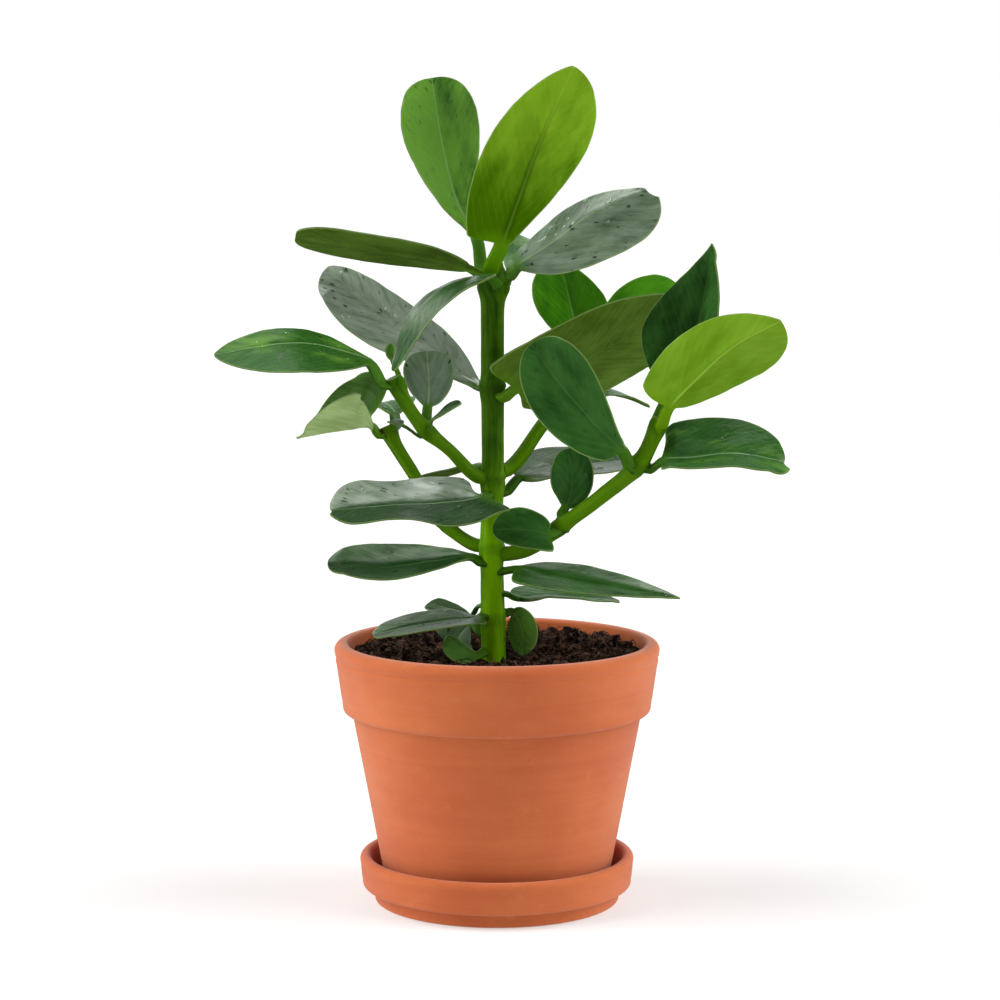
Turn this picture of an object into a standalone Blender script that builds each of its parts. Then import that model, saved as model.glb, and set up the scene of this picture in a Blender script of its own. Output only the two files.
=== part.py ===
"""Potted clusia: a branching, thick-leaved plant in a clay pot on a clay saucer.

Sizes are millimetres and are turned into metres where the meshes are made. The origin is the
centre of the saucer's foot on the ground, +Z is up, +X is to the right and the front looks
towards -Y.
"""

import math

import bmesh
import bpy
from mathutils import Quaternion, Vector, noise

MM = 0.001
SEAM_GAP = 0.3  # clearance that keeps touching solids apart
MERGE_DISTANCE = 1e-7  # metres, closes the seam of a rolled grid

# Saucer
SAUCER_HEIGHT = 21.6
SAUCER_LIP_RADIUS = 63.5
SAUCER_FOOT_RADIUS = 56.7
SAUCER_FOOT_HEIGHT = 6.6
SAUCER_BAND_RADIUS = 62.4
SAUCER_FLOOR = 7.0
SAUCER_WALL = 5.4

# Pot, a 15 cm clay pot measured over its rim
POT_TOP = 120.4
POT_BOTTOM = SAUCER_FLOOR + SEAM_GAP
POT_RIM_RADIUS = 75.0
POT_RIM_FOOT_RADIUS = 71.1
POT_RIM_FOOT = 88.2
POT_SHOULDER_RADIUS = 66.9
POT_BASE_RADIUS = 51.9
POT_WALL = 6.4
POT_FLOOR_THICKNESS = 8.0
DRAIN_RADIUS = 7.0
TURNED_STEPS = 44  # sides of the turned clay

# Soil
SOIL_EDGE_LEVEL = 115.0
SOIL_DISH = 3.0  # how much lower the soil lies at the stem
SOIL_ROUGHNESS = 1.8
SOIL_LUMP_SIZE = 11.0
SOIL_STEPS = 36
STEM_HOLE_BOTTOM = 88.0
STEM_HOLE_RADIUS = 6.1
STEM_FOOT = Vector((-1.5, -10.0, 0.0))

# Leaves and stems
LEAF_THICKNESS = 1.0
LEAF_EDGE = 0.7
MIDRIB_DEPTH = 0.7
PETIOLE_HALF_WIDTH = 2.7
PETIOLE_THICKNESS = 3.4
FULL_LEAF_WIDTH = 44.0  # a leaf of this width has a petiole of the size above
ACROSS = 4  # spans across a blade, on each face
BLADE_RINGS = 11
SMALL_BLADE_RINGS = 8
SMALL_LEAF_WIDTH = 22.0
STEM_SIDES = 16
NODE_LENGTH = 5.0  # half length of the swelling at a node

# Colours, linear RGB
CLAY = (0.62, 0.23, 0.10)
CLAY_SAUCER = (0.60, 0.22, 0.09)
PEAT = (0.030, 0.018, 0.012)
STEM_GREEN = (0.13, 0.27, 0.03)
YOUNG_STEM_GREEN = (0.20, 0.36, 0.05)
DARK_LEAF = (0.022, 0.085, 0.020)
GREEN_LEAF = (0.045, 0.16, 0.018)
LIME_LEAF = (0.19, 0.36, 0.025)

# Each stem: the points of its axis, the radius at each point, and the distances of its nodes
# along the axis with how far each swells. A branch starts on the stem named "from".
STEMS = {
    "main_stem": {
        "points": [
            (-1.5, -10, 88.4), (-1.5, -10, 113), (-2, -8, 138), (-2.5, -3, 165),
            (-2, 0, 195), (-2, 0, 238), (-2, 0, 272), (-1.5, 0, 285), (-1, 0, 294),
        ],
        "radii": [5.3, 5.6, 5.4, 5.1, 5.1, 5.2, 5.4, 5.6, 4.2],
        "nodes": [(43, 0.5), (75, 1.0), (107, 0.9), (149, 0.9), (196, 2.2)],
        "colour": STEM_GREEN,
    },
    "branch_left_upper": {
        "from": "main_stem", "at": 108,
        "points": [(-21, -10, 209), (-34, -15, 221), (-42, -18, 233), (-46.5, -19.5, 243)],
        "radii": [3.1, 2.8, 3.0, 3.2, 3.6],
        "nodes": [(35, 0.9), (61, 0.8)],
        "colour": YOUNG_STEM_GREEN,
    },
    "branch_left_lower": {
        "from": "main_stem", "at": 77,
        "points": [(-22, 5, 172), (-32, 10, 184), (-38, 14, 195), (-48, 17, 211), (-51, 18, 218)],
        "radii": [3.2, 2.9, 2.9, 3.0, 3.2, 3.6],
        "nodes": [(20, 0.6), (71, 0.8)],
        "colour": YOUNG_STEM_GREEN,
    },
    "branch_right": {
        "from": "main_stem", "at": 73,
        "points": [(15, -8, 164), (29, -13, 175), (48, -19, 190), (64, -24, 205), (70, -26, 217),
                   (73, -27, 225)],
        "radii": [3.5, 3.1, 3.3, 3.5, 3.7, 3.6, 3.6],
        "nodes": [(30, 0.9), (76, 1.0), (97, 0.7)],
        "colour": YOUNG_STEM_GREEN,
    },
    "branch_back": {
        "from": "main_stem", "at": 111,
        "points": [(21, 14, 219), (31, 21, 231), (37, 26, 239)],
        "radii": [3.4, 3.1, 3.1, 3.5],
        "nodes": [(46, 0.9)],
        "colour": YOUNG_STEM_GREEN,
    },
}

# Each leaf: the stem and the distance along it where it grows, the points of its midrib from
# the foot of the blade to the tip, its width, and the way its upper face looks at the foot.
# "leave" is the way its petiole leaves the stem, straight to the blade if not given. "turn"
# twists the face towards the tip, "fold" lifts the left and right half, "cup" curls the margins
# further up, "wave" ripples them, "lobe" draws the foot of the blade back past the petiole,
# "fore" draws a blunt tip forward past the midrib, and "round_base" and "round_tip" set the
# outline: smaller is rounder. Two values are for the left and the right half, one is for both.
LEAVES = {
    "leaf_crown_front": {
        "stem": "main_stem", "at": 201, "leave": (-0.3, -1, 0),
        "rib": [(2, -14, 302), (9, -17, 321), (19, -20, 348), (34, -24, 381)],
        "width": (46, 45), "face": (-0.1, 1, 0.2), "fold": (10, 4), "cup": 6, "lobe": (7, 12),
        "round_base": (1.15, 0.42), "round_tip": (0.62, 0.75), "petiole": 3.1,
        "colour": LIME_LEAF,
    },
    "leaf_crown_back": {
        "stem": "main_stem", "at": 201,
        "rib": [(-9, 10, 304), (-18, 15, 321), (-25, 22, 347), (-30, 20, 378)],
        "width": 37, "face": (0.1, -1, 0.3), "fold": (8, 8), "cup": 8, "round_base": 1.15,
        "round_tip": 0.42, "colour": GREEN_LEAF,
    },
    "leaf_crown_left": {
        "stem": "main_stem", "at": 201,
        "rib": [(-13, -3, 291.5), (-31, -4, 296), (-60, -6, 300.5), (-91, -8, 306)],
        "width": (38, 40), "face": (0.1, 0.34, 0.95), "fold": (2, 2), "round_base": 0.45,
        "round_tip": 0.3, "colour": GREEN_LEAF,
    },
    "leaf_crown_right": {
        "stem": "main_stem", "at": 201,
        "rib": [(9, -3, 292), (26, -8, 304), (44, -11, 317), (67, -12, 327)],
        "width": (26, 50), "face": (-0.25, -0.9, 0.5), "fold": (-20, 0), "cup": 0,
        "fore": (0, 4), "round_base": (0.5, 0.7), "round_tip": (0.8, 0.32), "colour": DARK_LEAF,
    },
    "leaf_crown_arching": {
        "stem": "main_stem", "at": 196, "leave": (0.25, -1, 0),
        "rib": [(-4, -15, 288), (-19, -26, 285), (-32, -34, 275), (-40, -38, 262),
                (-46, -39, 247)],
        "width": 25, "face": (-0.5, -0.35, 0.8), "fold": (-4, -8), "round_base": 0.3,
        "round_tip": 0.6, "colour": GREEN_LEAF,
    },
    "leaf_crown_rear": {
        "stem": "main_stem", "at": 196,
        "rib": [(6, 13, 289), (15, 30, 296), (26, 50, 299), (33, 70, 297)],
        "width": 38, "face": (0, -0.2, 1), "fold": (10, 10), "cup": 6, "colour": GREEN_LEAF,
    },
    "leaf_upper_left": {
        "stem": "main_stem", "at": 150,
        "rib": [(-9, 5, 238), (-28, 12, 253), (-53, 16, 270), (-79, 18, 291)],
        "width": (47, 25), "face": (0.2, -0.75, 0.7), "fold": (6, 6), "cup": 6, "lobe": 0,
        "round_base": (1.0, 0.6), "round_tip": (0.5, 0.5), "colour": DARK_LEAF,
    },
    "leaf_upper_right": {
        "stem": "main_stem", "at": 145,
        "rib": [(8, -10, 237), (29, -5, 245), (60, 3, 261), (94, 8, 277)],
        "width": 48, "face": (-0.2, 0.72, 0.65), "fold": (-10, 6), "cup": 4, "lobe": (8, 26),
        "round_base": (0.5, 0.38), "round_tip": (0.5, 0.72), "colour": GREEN_LEAF,
    },
    "leaf_middle_left": {
        "stem": "main_stem", "at": 100, "leave": (-0.5, -1, 0),
        "rib": [(-6, -15, 188), (-20, -23, 187), (-46, -36, 187), (-73, -48, 186)],
        "width": 43, "face": (0, -0.42, 0.9), "fold": (6, 6), "wave": (-2.2, 2.0), "waves": 1.5,
        "lobe": (15, 6), "fore": (2, 0), "round_base": (0.28, 0.5), "round_tip": (0.4, 0.5),
        "colour": DARK_LEAF,
    },
    "leaf_middle_right": {
        "stem": "main_stem", "at": 101,
        "rib": [(10, 6, 195), (23, 13, 199), (44, 24, 200), (66, 32, 201)],
        "width": 40, "face": (0, -0.26, 0.97), "fold": (6, 6), "round_base": 0.42,
        "colour": DARK_LEAF,
    },
    "leaf_middle_rear": {
        "stem": "main_stem", "at": 108,
        "rib": [(-8, 9, 200), (-17, 20, 197), (-28, 34, 192), (-38, 48, 186)],
        "width": 30, "face": (-0.1, 0, 1), "fold": (8, 8), "colour": GREEN_LEAF,
    },
    "leaf_lower_left": {
        "stem": "main_stem", "at": 69, "leave": (-0.8, -0.6, 0),
        "rib": [(-11, -8, 160), (-28, -10, 158.5), (-51, -12, 156), (-77, -15, 158)],
        "width": (36, 32), "face": (0, -0.38, 0.92), "fold": (6, 6), "cup": 6,
        "colour": DARK_LEAF,
    },
    "leaf_lower_right": {
        "stem": "main_stem", "at": 65,
        "rib": [(9, -11, 155), (22, -15, 153), (49, -24, 149), (82, -34, 145)],
        "width": (26, 38), "face": (0, -0.3, 0.95), "fold": (8, 8), "round_base": (0.6, 0.3),
        "round_tip": (0.95, 1.1), "colour": DARK_LEAF,
    },
    "leaf_base_right": {
        "stem": "main_stem", "at": 55, "leave": (1, -0.1, 0),
        "rib": [(9, -3.5, 140.5), (18, 5, 140.5), (34, 15, 138.5), (57, 23, 135.5)],
        "width": 30, "face": (0, -0.1, 1), "fold": (8, 8), "round_base": 0.45,
        "colour": DARK_LEAF,
    },
    "leaf_base_left": {
        "stem": "main_stem", "at": 45,
        "rib": [(-8, -14, 133), (-18, -18, 133), (-36, -23, 131), (-56, -27, 127)],
        "width": (34, 26), "face": (0, -0.15, 1), "fold": (8, 8), "lobe": (3, 0),
        "round_base": (0.4, 0.6), "colour": DARK_LEAF,
    },
    "leaf_foot_left": {
        "stem": "main_stem", "at": 50, "leave": (-1, 0.2, 0),
        "rib": [(-12, 0, 132), (-17, 4, 133), (-24, 9, 134), (-32, 14, 135.5)],
        "width": 11, "face": (0, -0.4, 0.9), "fold": (8, 8), "round_tip": 0.25,
        "colour": DARK_LEAF,
    },
    "leaf_foot_hanging": {
        "stem": "main_stem", "at": 38, "leave": (-1, 0.3, 0),
        "rib": [(-11, -4, 129), (-15, -1, 125.5), (-18, 1, 120.5), (-20, 2, 116.5)],
        "width": (24, 25), "face": (-0.5, -0.8, 0.3), "fold": (8, 8), "round_base": 1.0,
        "round_tip": 0.3, "colour": DARK_LEAF,
    },
    "leaf_foot_front": {
        "stem": "main_stem", "at": 29, "leave": (-0.7, -0.7, 0),
        "rib": [(-9, -16, 116), (-13, -17.5, 118), (-18, -19, 121.5), (-23, -20, 125.5)],
        "width": (18, 5), "face": (0.2, -0.8, 0.6), "fold": (8, 8), "round_base": 0.6,
        "round_tip": 0.35, "colour": LIME_LEAF,
    },
    "leaf_foot_right": {
        "stem": "main_stem", "at": 46, "leave": (1, 0.3, 0),
        "rib": [(7, -5, 134.5), (10.5, -7, 130), (12, -9.5, 122), (11.5, -12, 115.5)],
        "width": (15, 13), "face": (-0.3, -0.95, 0.15), "fold": (8, 8), "round_base": 0.45,
        "colour": DARK_LEAF,
    },
    "leaf_foot_rear": {
        "stem": "main_stem", "at": 33,
        "rib": [(-2, 1, 122), (-3, 5, 126), (-3, 9, 130), (-2, 14, 133)],
        "width": 11, "face": (0, -0.7, 0.7), "fold": (8, 8), "colour": GREEN_LEAF,
    },
    "leaf_left_outer": {
        "stem": "branch_left_upper", "at": 62, "leave": (-0.8, -0.3, 0.8),
        "rib": [(-57, -23, 249.5), (-67, -26, 254.5), (-88, -31, 259), (-125, -38, 254)],
        "width": (50, 22), "face": (0, -0.5, 0.87), "fold": (2, 6), "round_base": (0.8, 1.0),
        "round_tip": (0.75, 0.7), "colour": DARK_LEAF,
    },
    "leaf_left_inner": {
        "stem": "branch_left_upper", "at": 36, "leave": (0.3, 1, 0),
        "rib": [(-31.5, -9, 229), (-31, -7, 233), (-31, -5, 242), (-32, -3, 254)],
        "width": 23, "face": (0.1, -1, 0.3), "fold": (6, 6), "round_base": 0.6,
        "round_tip": 0.35, "colour": DARK_LEAF,
    },
    "leaf_left_small_right": {
        "stem": "branch_left_upper", "at": 36, "leave": (0.5, -1, 0.2),
        "rib": [(-29, -21, 224), (-26, -22, 226), (-22, -23, 229), (-16, -24, 232)],
        "width": 8, "face": (-0.5, -0.3, 0.8), "fold": (8, 8), "colour": DARK_LEAF,
    },
    "leaf_left_small_left": {
        "stem": "branch_left_upper", "at": 33, "leave": (-1, 0.3, 0),
        "rib": [(-42, -12, 220.5), (-44, -11, 221), (-46, -9, 222), (-49, -7, 222)],
        "width": 8, "face": (0, -0.1, 1), "fold": (8, 8), "colour": DARK_LEAF,
    },
    "leaf_left_bud": {
        "stem": "branch_left_upper", "at": 61, "leave": (0.3, 1, 0.3),
        "rib": [(-47, -13, 250), (-48, -13, 252), (-48, -13, 255), (-48, -13, 258)],
        "width": 5, "face": (0, -0.7, 0.7), "fold": (25, 25), "colour": LIME_LEAF,
    },
    "leaf_left_lower_outer": {
        "stem": "branch_left_lower", "at": 70, "leave": (-1, -0.2, 0.2),
        "rib": [(-58, 14.5, 218.5), (-67, 12, 218), (-79, 7, 216.5), (-92, 2, 214)],
        "width": (58, 50), "face": (0, -0.34, 0.94), "fold": (56, 45), "lobe": (0, 22),
        "round_base": (0.65, 0.35), "round_tip": (1.0, 1.7), "colour": LIME_LEAF,
    },
    "leaf_left_lower_rear": {
        "stem": "branch_left_lower", "at": 71, "leave": (0.6, 1, 0),
        "rib": [(-48, 33, 222), (-50, 42, 225), (-54, 55, 226), (-59, 68, 224)],
        "width": 30, "face": (0, 0, 1), "fold": (10, 10), "colour": GREEN_LEAF,
    },
    "leaf_right_front": {
        "stem": "branch_right", "at": 75, "leave": (-0.5, -1, 0.2),
        "rib": [(56, -35, 211), (45, -37, 222), (29, -38, 240), (15, -38, 259)],
        "width": 35, "face": (-0.3, -0.9, 0.2), "fold": (10, 10), "cup": 8, "lobe": 3,
        "round_base": (0.55, 1.1), "round_tip": (0.5, 0.45), "colour": DARK_LEAF,
    },
    "leaf_right_outer": {
        "stem": "branch_right", "at": 78, "leave": (1, 0, -0.3),
        "rib": [(74, -28, 206), (88, -31, 208), (107, -36, 210), (127, -42, 207)],
        "width": (46, 36), "face": (0, -0.5, 0.87), "fold": (14, 16), "lobe": 5, "fore": (0, 4),
        "round_base": (0.22, 0.45), "round_tip": (0.5, 0.3), "colour": DARK_LEAF,
    },
    "leaf_right_top_front": {
        "stem": "branch_right", "at": 97, "leave": (0.2, -1, 0),
        "rib": [(76, -38, 231), (85, -40.5, 241), (103, -45, 258), (124, -50, 270)],
        "width": (40, 38), "face": (-0.3, 0.9, 0.2), "fold": (0, 30), "cup": 6, "lobe": (2, 9),
        "round_base": (0.8, 0.4), "round_tip": (0.42, 0.85), "colour": LIME_LEAF,
    },
    "leaf_right_top_rear": {
        "stem": "branch_right", "at": 97, "leave": (0, 1, 0),
        "rib": [(78, -17, 236), (87, -14, 255), (93, -14, 278), (96, -18, 303)],
        "width": (48, 31), "face": (-0.25, -0.95, 0.2), "fold": (4, 45),
        "round_base": (0.7, 0.6), "round_tip": (1.3, 0.9), "colour": DARK_LEAF,
    },
    "leaf_right_small_rear": {
        "stem": "branch_right", "at": 33, "leave": (-0.3, 0.6, 0.8),
        "rib": [(31, -9, 183), (33, -9, 188), (34, -9, 199), (32, -8, 210)],
        "width": 20, "face": (0, -1, 0.3), "fold": (10, 10), "round_base": 0.6,
        "colour": DARK_LEAF,
    },
    "leaf_right_small_front": {
        "stem": "branch_right", "at": 29, "leave": (-0.2, -1, -0.2),
        "rib": [(24, -20, 172), (17, -19, 173.5), (9, -17, 174), (-2, -15, 173.5)],
        "width": (18, 20), "face": (0, -0.9, 0.4), "fold": (8, 8), "lobe": (8, 2),
        "round_base": (0.3, 0.6), "colour": DARK_LEAF,
    },
    "leaf_back_tall": {
        "stem": "branch_back", "at": 46, "leave": (-1, 0, 0.5),
        "rib": [(38, 29, 251), (37, 31, 262), (33.5, 32, 277), (29.5, 30, 295)],
        "width": 34, "face": (0.1, -1, 0.2), "fold": (8, 8), "round_base": (0.85, 0.6),
        "round_tip": (0.4, 0.95), "colour": GREEN_LEAF,
    },
    "leaf_back_right": {
        "stem": "branch_back", "at": 44, "leave": (1, -0.2, 0),
        "rib": [(48, 31, 247), (59, 38, 260), (72, 44, 271), (91, 50, 277)],
        "width": 36, "face": (-0.2, -0.8, 0.6), "fold": (8, 8), "colour": GREEN_LEAF,
    },
    "leaf_back_edge": {
        "stem": "branch_back", "at": 33, "leave": (1, -0.8, 0),
        "rib": [(42, 17, 230), (49, 22, 233), (59, 29, 231), (71, 34, 226)],
        "width": 20, "face": (0.3, 0, 1), "fold": (6, 6), "colour": DARK_LEAF,
    },
    "leaf_back_rear": {
        "stem": "branch_back", "at": 40, "leave": (0, 1, 0),
        "rib": [(38, 37, 242), (43, 48, 248), (50, 62, 251), (58, 80, 249)],
        "width": 34, "face": (0, -0.1, 1), "fold": (10, 10), "colour": GREEN_LEAF,
    },
}

LEAF_DEFAULTS = {
    "turn": 0.0, "cup": 0.0, "wave": 0.0, "waves": 2.0, "lobe": 0.0, "fore": 0.0,
    "round_base": 0.85, "round_tip": 0.5, "petiole": PETIOLE_HALF_WIDTH, "leave": None,
}


def material(name, colour, roughness):
    made = bpy.data.materials.new(name)
    made.use_nodes = True
    shader = made.node_tree.nodes["Principled BSDF"]
    shader.inputs["Base Color"].default_value = (*colour, 1.0)
    shader.inputs["Roughness"].default_value = roughness
    shader.inputs["Metallic"].default_value = 0.0
    return made


def add_object(name, mesh_builder, colour, roughness):
    """Turns a finished bmesh, in metres, into a named and shaded object."""
    mesh = bpy.data.meshes.new(name)
    mesh_builder.to_mesh(mesh)
    mesh_builder.free()
    mesh.materials.append(material(name, colour, roughness))
    mesh.shade_smooth()
    mesh.set_sharp_from_angle(angle=math.radians(40))
    made = bpy.data.objects.new(name, mesh)
    bpy.context.scene.collection.objects.link(made)
    return made


def smooth_path(points, start, steps):
    """Points along a smooth curve that sets off in a given direction, evenly spread over it."""
    chords = [(b - a) for a, b in zip(points, points[1:])]
    ways = [chord.normalized() for chord in chords]
    turns = [start] + [(a + b).normalized() for a, b in zip(ways, ways[1:])] + [ways[-1]]
    fine = []
    for k, chord in enumerate(chords):
        pull = chord.length
        for step in range(16):
            t = step / 16
            fine.append(
                points[k] * (1 - 3 * t ** 2 + 2 * t ** 3) + points[k + 1] * (3 * t ** 2 - 2 * t ** 3)
                + turns[k] * pull * (t - 2 * t ** 2 + t ** 3)
                + turns[k + 1] * pull * (t ** 3 - t ** 2)
            )
    fine.append(points[-1].copy())
    reach = [0.0]
    for a, b in zip(fine, fine[1:]):
        reach.append(reach[-1] + (b - a).length)
    return [path_point(fine, reach, reach[-1] * k / steps) for k in range(steps + 1)]


def path_point(fine, reach, distance):
    for k in range(1, len(fine)):
        if reach[k] >= distance or k == len(fine) - 1:
            share = (distance - reach[k - 1]) / max(reach[k] - reach[k - 1], 1e-9)
            return fine[k - 1].lerp(fine[k], min(max(share, 0.0), 1.0))
    return fine[-1].copy()


def path_length(points):
    return sum((b - a).length for a, b in zip(points, points[1:]))


def at_share(values, share):
    """A value read between the entries of a list, at a share of its length from 0 to 1."""
    place = min(max(share, 0.0), 1.0) * (len(values) - 1)
    low = min(int(place), len(values) - 2)
    return values[low] * (1 - place + low) + values[low + 1] * (place - low)


class Stem:
    """A stem's axis as a smooth path, with its radius and its swollen nodes."""

    def __init__(self, name, stems):
        data = STEMS[name]
        points = [Vector(p) for p in data["points"]]
        self.radii = data["radii"]
        self.nodes = data["nodes"]
        if "from" in data:
            root, self.outward = stems[data["from"]].seat(
                data["at"], points[0], self.radii[0] + SEAM_GAP
            )
            points = [root, *points]
            start = (self.outward + (points[1] - root).normalized()).normalized()
        else:
            start = (points[1] - points[0]).normalized()
            self.outward = start
        self.axis = smooth_path(points, start, 64)
        self.length = path_length(self.axis)
        share = [0.0]
        for a, b in zip(points, points[1:]):
            share.append(share[-1] + (b - a).length)
        self.marks = [s / share[-1] for s in share]

    def point(self, distance):
        return at_share(self.axis, distance / self.length)

    def heading(self, distance):
        return (self.point(distance + 1) - self.point(distance - 1)).normalized()

    def radius(self, distance):
        share = min(max(distance / self.length, 0.0), 1.0)
        k = next(i for i in range(1, len(self.marks)) if self.marks[i] >= share - 1e-9)
        inside = (share - self.marks[k - 1]) / (self.marks[k] - self.marks[k - 1])
        plain = self.radii[k - 1] * (1 - inside) + self.radii[k] * inside
        swelling = sum(
            size * math.exp(-(((distance - node) / NODE_LENGTH) ** 2)) for node, size in self.nodes
        )
        return plain + swelling

    def seat(self, distance, towards, half):
        """The point just off the stem's skin that faces a target, and the way out of the stem.

        The skin is taken at its widest over half a root's thickness up and down the stem.
        """
        centre = self.point(distance)
        along = self.heading(distance)
        outward = towards - centre
        outward = (outward - along * outward.dot(along)).normalized()
        skin = max(self.radius(distance + step) for step in (-half, 0, half))
        return centre + outward * (skin + SEAM_GAP), outward


def rolled_grid(rings, around, corner):
    """A grid rolled into a tube with closed ends. corner(ring, step) places each corner, in mm."""
    bm = bmesh.new()
    bmesh.ops.create_grid(bm, x_segments=rings - 1, y_segments=around, size=1)
    front = [f for f in bm.faces if f.calc_center_median().y < 0]
    back = [f for f in bm.faces if f.calc_center_median().y >= 0]
    bmesh.ops.triangulate(bm, faces=front, quad_method="FIXED")
    bmesh.ops.triangulate(bm, faces=back, quad_method="ALTERNATE")
    for vert in bm.verts:
        ring = round((vert.co.x + 1) / 2 * (rings - 1))
        step = round((vert.co.y + 1) / 2 * around) % around
        vert.co = corner(ring, step) * MM
    bmesh.ops.remove_doubles(bm, verts=bm.verts, dist=MERGE_DISTANCE)
    ends = bmesh.ops.holes_fill(bm, edges=[e for e in bm.edges if e.is_boundary], sides=0)
    bmesh.ops.triangulate(bm, faces=ends["faces"])
    bmesh.ops.recalc_face_normals(bm, faces=bm.faces)
    return bm


def side_vectors(heading):
    side = heading.cross(Vector((0, 1, 0))).normalized()
    return side, heading.cross(side).normalized()


def build_stem(name, stem):
    rings = max(8, round(stem.length / 6.0))

    def corner(ring, step):
        distance = stem.length * ring / (rings - 1)
        heading = stem.outward if ring == 0 else stem.heading(distance)
        side, other = side_vectors(heading)
        turn = 2 * math.pi * step / STEM_SIDES
        spoke = side * math.cos(turn) + other * math.sin(turn)
        return stem.point(distance) + spoke * stem.radius(distance)

    return add_object(name, rolled_grid(rings, STEM_SIDES, corner), STEMS[name]["colour"], 0.45)


class Leaf:
    """A leaf's surface: a petiole that widens into a blade along the midrib."""

    def __init__(self, name, stems):
        self.data = {**LEAF_DEFAULTS, **LEAVES[name]}
        rib = [Vector(p) for p in self.data["rib"]]
        stem = stems[self.data["stem"]]
        self.wide = max(self.half_value("width", -1), self.half_value("width", 1))
        self.size = math.sqrt(min(1.0, self.wide / FULL_LEAF_WIDTH))
        towards = rib[0]
        if self.data["leave"]:
            towards = stem.point(self.data["at"]) + Vector(self.data["leave"])
        root, self.outward = stem.seat(self.data["at"], towards, PETIOLE_THICKNESS * self.size / 2)
        start = (self.outward + (rib[0] - root).normalized()).normalized()
        self.path = smooth_path([root, *rib], start, 80)
        self.length = path_length(self.path)
        self.foot = (rib[0] - root).length * 1.05 / self.length

    def blade_share(self, along):
        return max(0.0, (along - self.foot) / (1 - self.foot))

    def half_value(self, key, across):
        """The value of a setting on the left or the right half of the blade."""
        value = self.data[key]
        return value[across >= 0] if isinstance(value, tuple) else value

    def half_width(self, along, across):
        share = self.blade_share(along)
        low, high = self.half_value("round_base", across), self.half_value("round_tip", across)
        peak = low / (low + high)
        full = peak ** low * (1 - peak) ** high
        blade = self.half_value("width", across) / 2 * share ** low * (1 - share) ** high / full
        flare = 1 + 0.25 * max(0.0, 1 - along / self.foot) ** 2
        petiole = self.data["petiole"] * self.size * flare * (1 - share) ** 2
        return (blade ** 3 + petiole ** 3) ** (1 / 3)

    def thickness(self, along, across):
        share = self.blade_share(along)
        fade = max(0.0, 1 - share * 5) ** 2
        middle = LEAF_THICKNESS + (PETIOLE_THICKNESS * self.size - LEAF_THICKNESS) * fade
        edge = LEAF_EDGE + 0.5 * self.size * fade
        return edge + (middle - edge) * math.sqrt(max(0.0, 1 - across * across))

    def frame(self, along):
        heading = (at_share(self.path, along + 0.01) - at_share(self.path, along - 0.01)).normalized()
        if along == 0:
            heading = self.outward
        face = Vector(self.data["face"])
        face = (face - heading * face.dot(heading)).normalized()
        face = Quaternion(heading, math.radians(self.data["turn"]) * along) @ face
        return heading, face, heading.cross(face)

    def point(self, along, across, upper):
        """A point of the skin: along the midrib from 0 to 1, across it from -1 to 1."""
        data = self.data
        share = self.blade_share(along)
        heading, face, right = self.frame(along)
        width = self.half_width(along, across)
        side = 1 if across >= 0 else -1
        opening = min(1.0, share * 8, (1 - share) * 10)
        bend = math.radians(self.half_value("fold", across) + data["cup"] * abs(across)) * opening
        if abs(across) < 1e-6:
            bend = 0.0
        reach = abs(across) * width
        ripple = self.half_value("wave", across) * across * across * opening * math.sin(
            2 * math.pi * data["waves"] * share + (side - 1) * 0.8
        )
        out = right * side * math.cos(bend) + face * math.sin(bend)
        skin = face * math.cos(bend) - right * side * math.sin(bend)
        draw = min(1.0, share * 12) * (1 - share) ** 4
        drawn = self.half_value("fore", across) * share ** 6 - self.half_value("lobe", across) * draw
        centre = at_share(self.path, along) + out * reach + skin * ripple
        centre += heading * (drawn * across * across)
        half = self.thickness(along, across) / 2
        if upper:
            return centre + skin * half
        rib = MIDRIB_DEPTH * self.size * opening * (1 - share) if abs(across) < 1e-6 else 0.0
        return centre - skin * (half + rib)


def build_leaf(name, leaf):
    small = leaf.wide <= SMALL_LEAF_WIDTH
    blade_rings = SMALL_BLADE_RINGS if small else BLADE_RINGS
    shares = [0.0, leaf.foot * 0.55]
    for k in range(blade_rings):
        share = (1 - math.cos(math.pi * k / (blade_rings - 1))) / 2
        shares.append(leaf.foot + (1 - leaf.foot) * min(share, 0.996))
    around = 2 * (ACROSS + 1)

    def corner(ring, step):
        upper = step <= ACROSS
        place = step if upper else around - 1 - step
        across = math.cos(math.pi * place / ACROSS)
        return leaf.point(shares[ring], across, upper)

    return add_object(name, rolled_grid(len(shares), around, corner), leaf.data["colour"], 0.35)


def arc(centre_r, centre_z, radius, start, end, steps=3):
    """Points of a round corner in a turned profile; the angles are degrees from outwards."""
    spread = [math.radians(start + (end - start) * k / steps) for k in range(steps + 1)]
    return [(centre_r + radius * math.cos(a), centre_z + radius * math.sin(a)) for a in spread]


def turned(profile, steps, closed):
    """Turns a profile of (radius, height) points round the Z axis into a closed body."""
    bm = bmesh.new()
    verts = [bm.verts.new(Vector((r, 0, z)) * MM) for r, z in profile]
    for a, b in zip(verts, verts[1:]):
        bm.edges.new((a, b))
    if closed:
        bm.edges.new((verts[-1], verts[0]))
    bmesh.ops.spin(
        bm, geom=bm.verts[:] + bm.edges[:], cent=(0, 0, 0), axis=(0, 0, 1), angle=2 * math.pi,
        steps=steps, use_merge=True,
    )
    bmesh.ops.remove_doubles(bm, verts=bm.verts, dist=MERGE_DISTANCE)
    bmesh.ops.dissolve_degenerate(bm, edges=bm.edges, dist=MERGE_DISTANCE)
    bmesh.ops.recalc_face_normals(bm, faces=bm.faces)
    return bm


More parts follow.
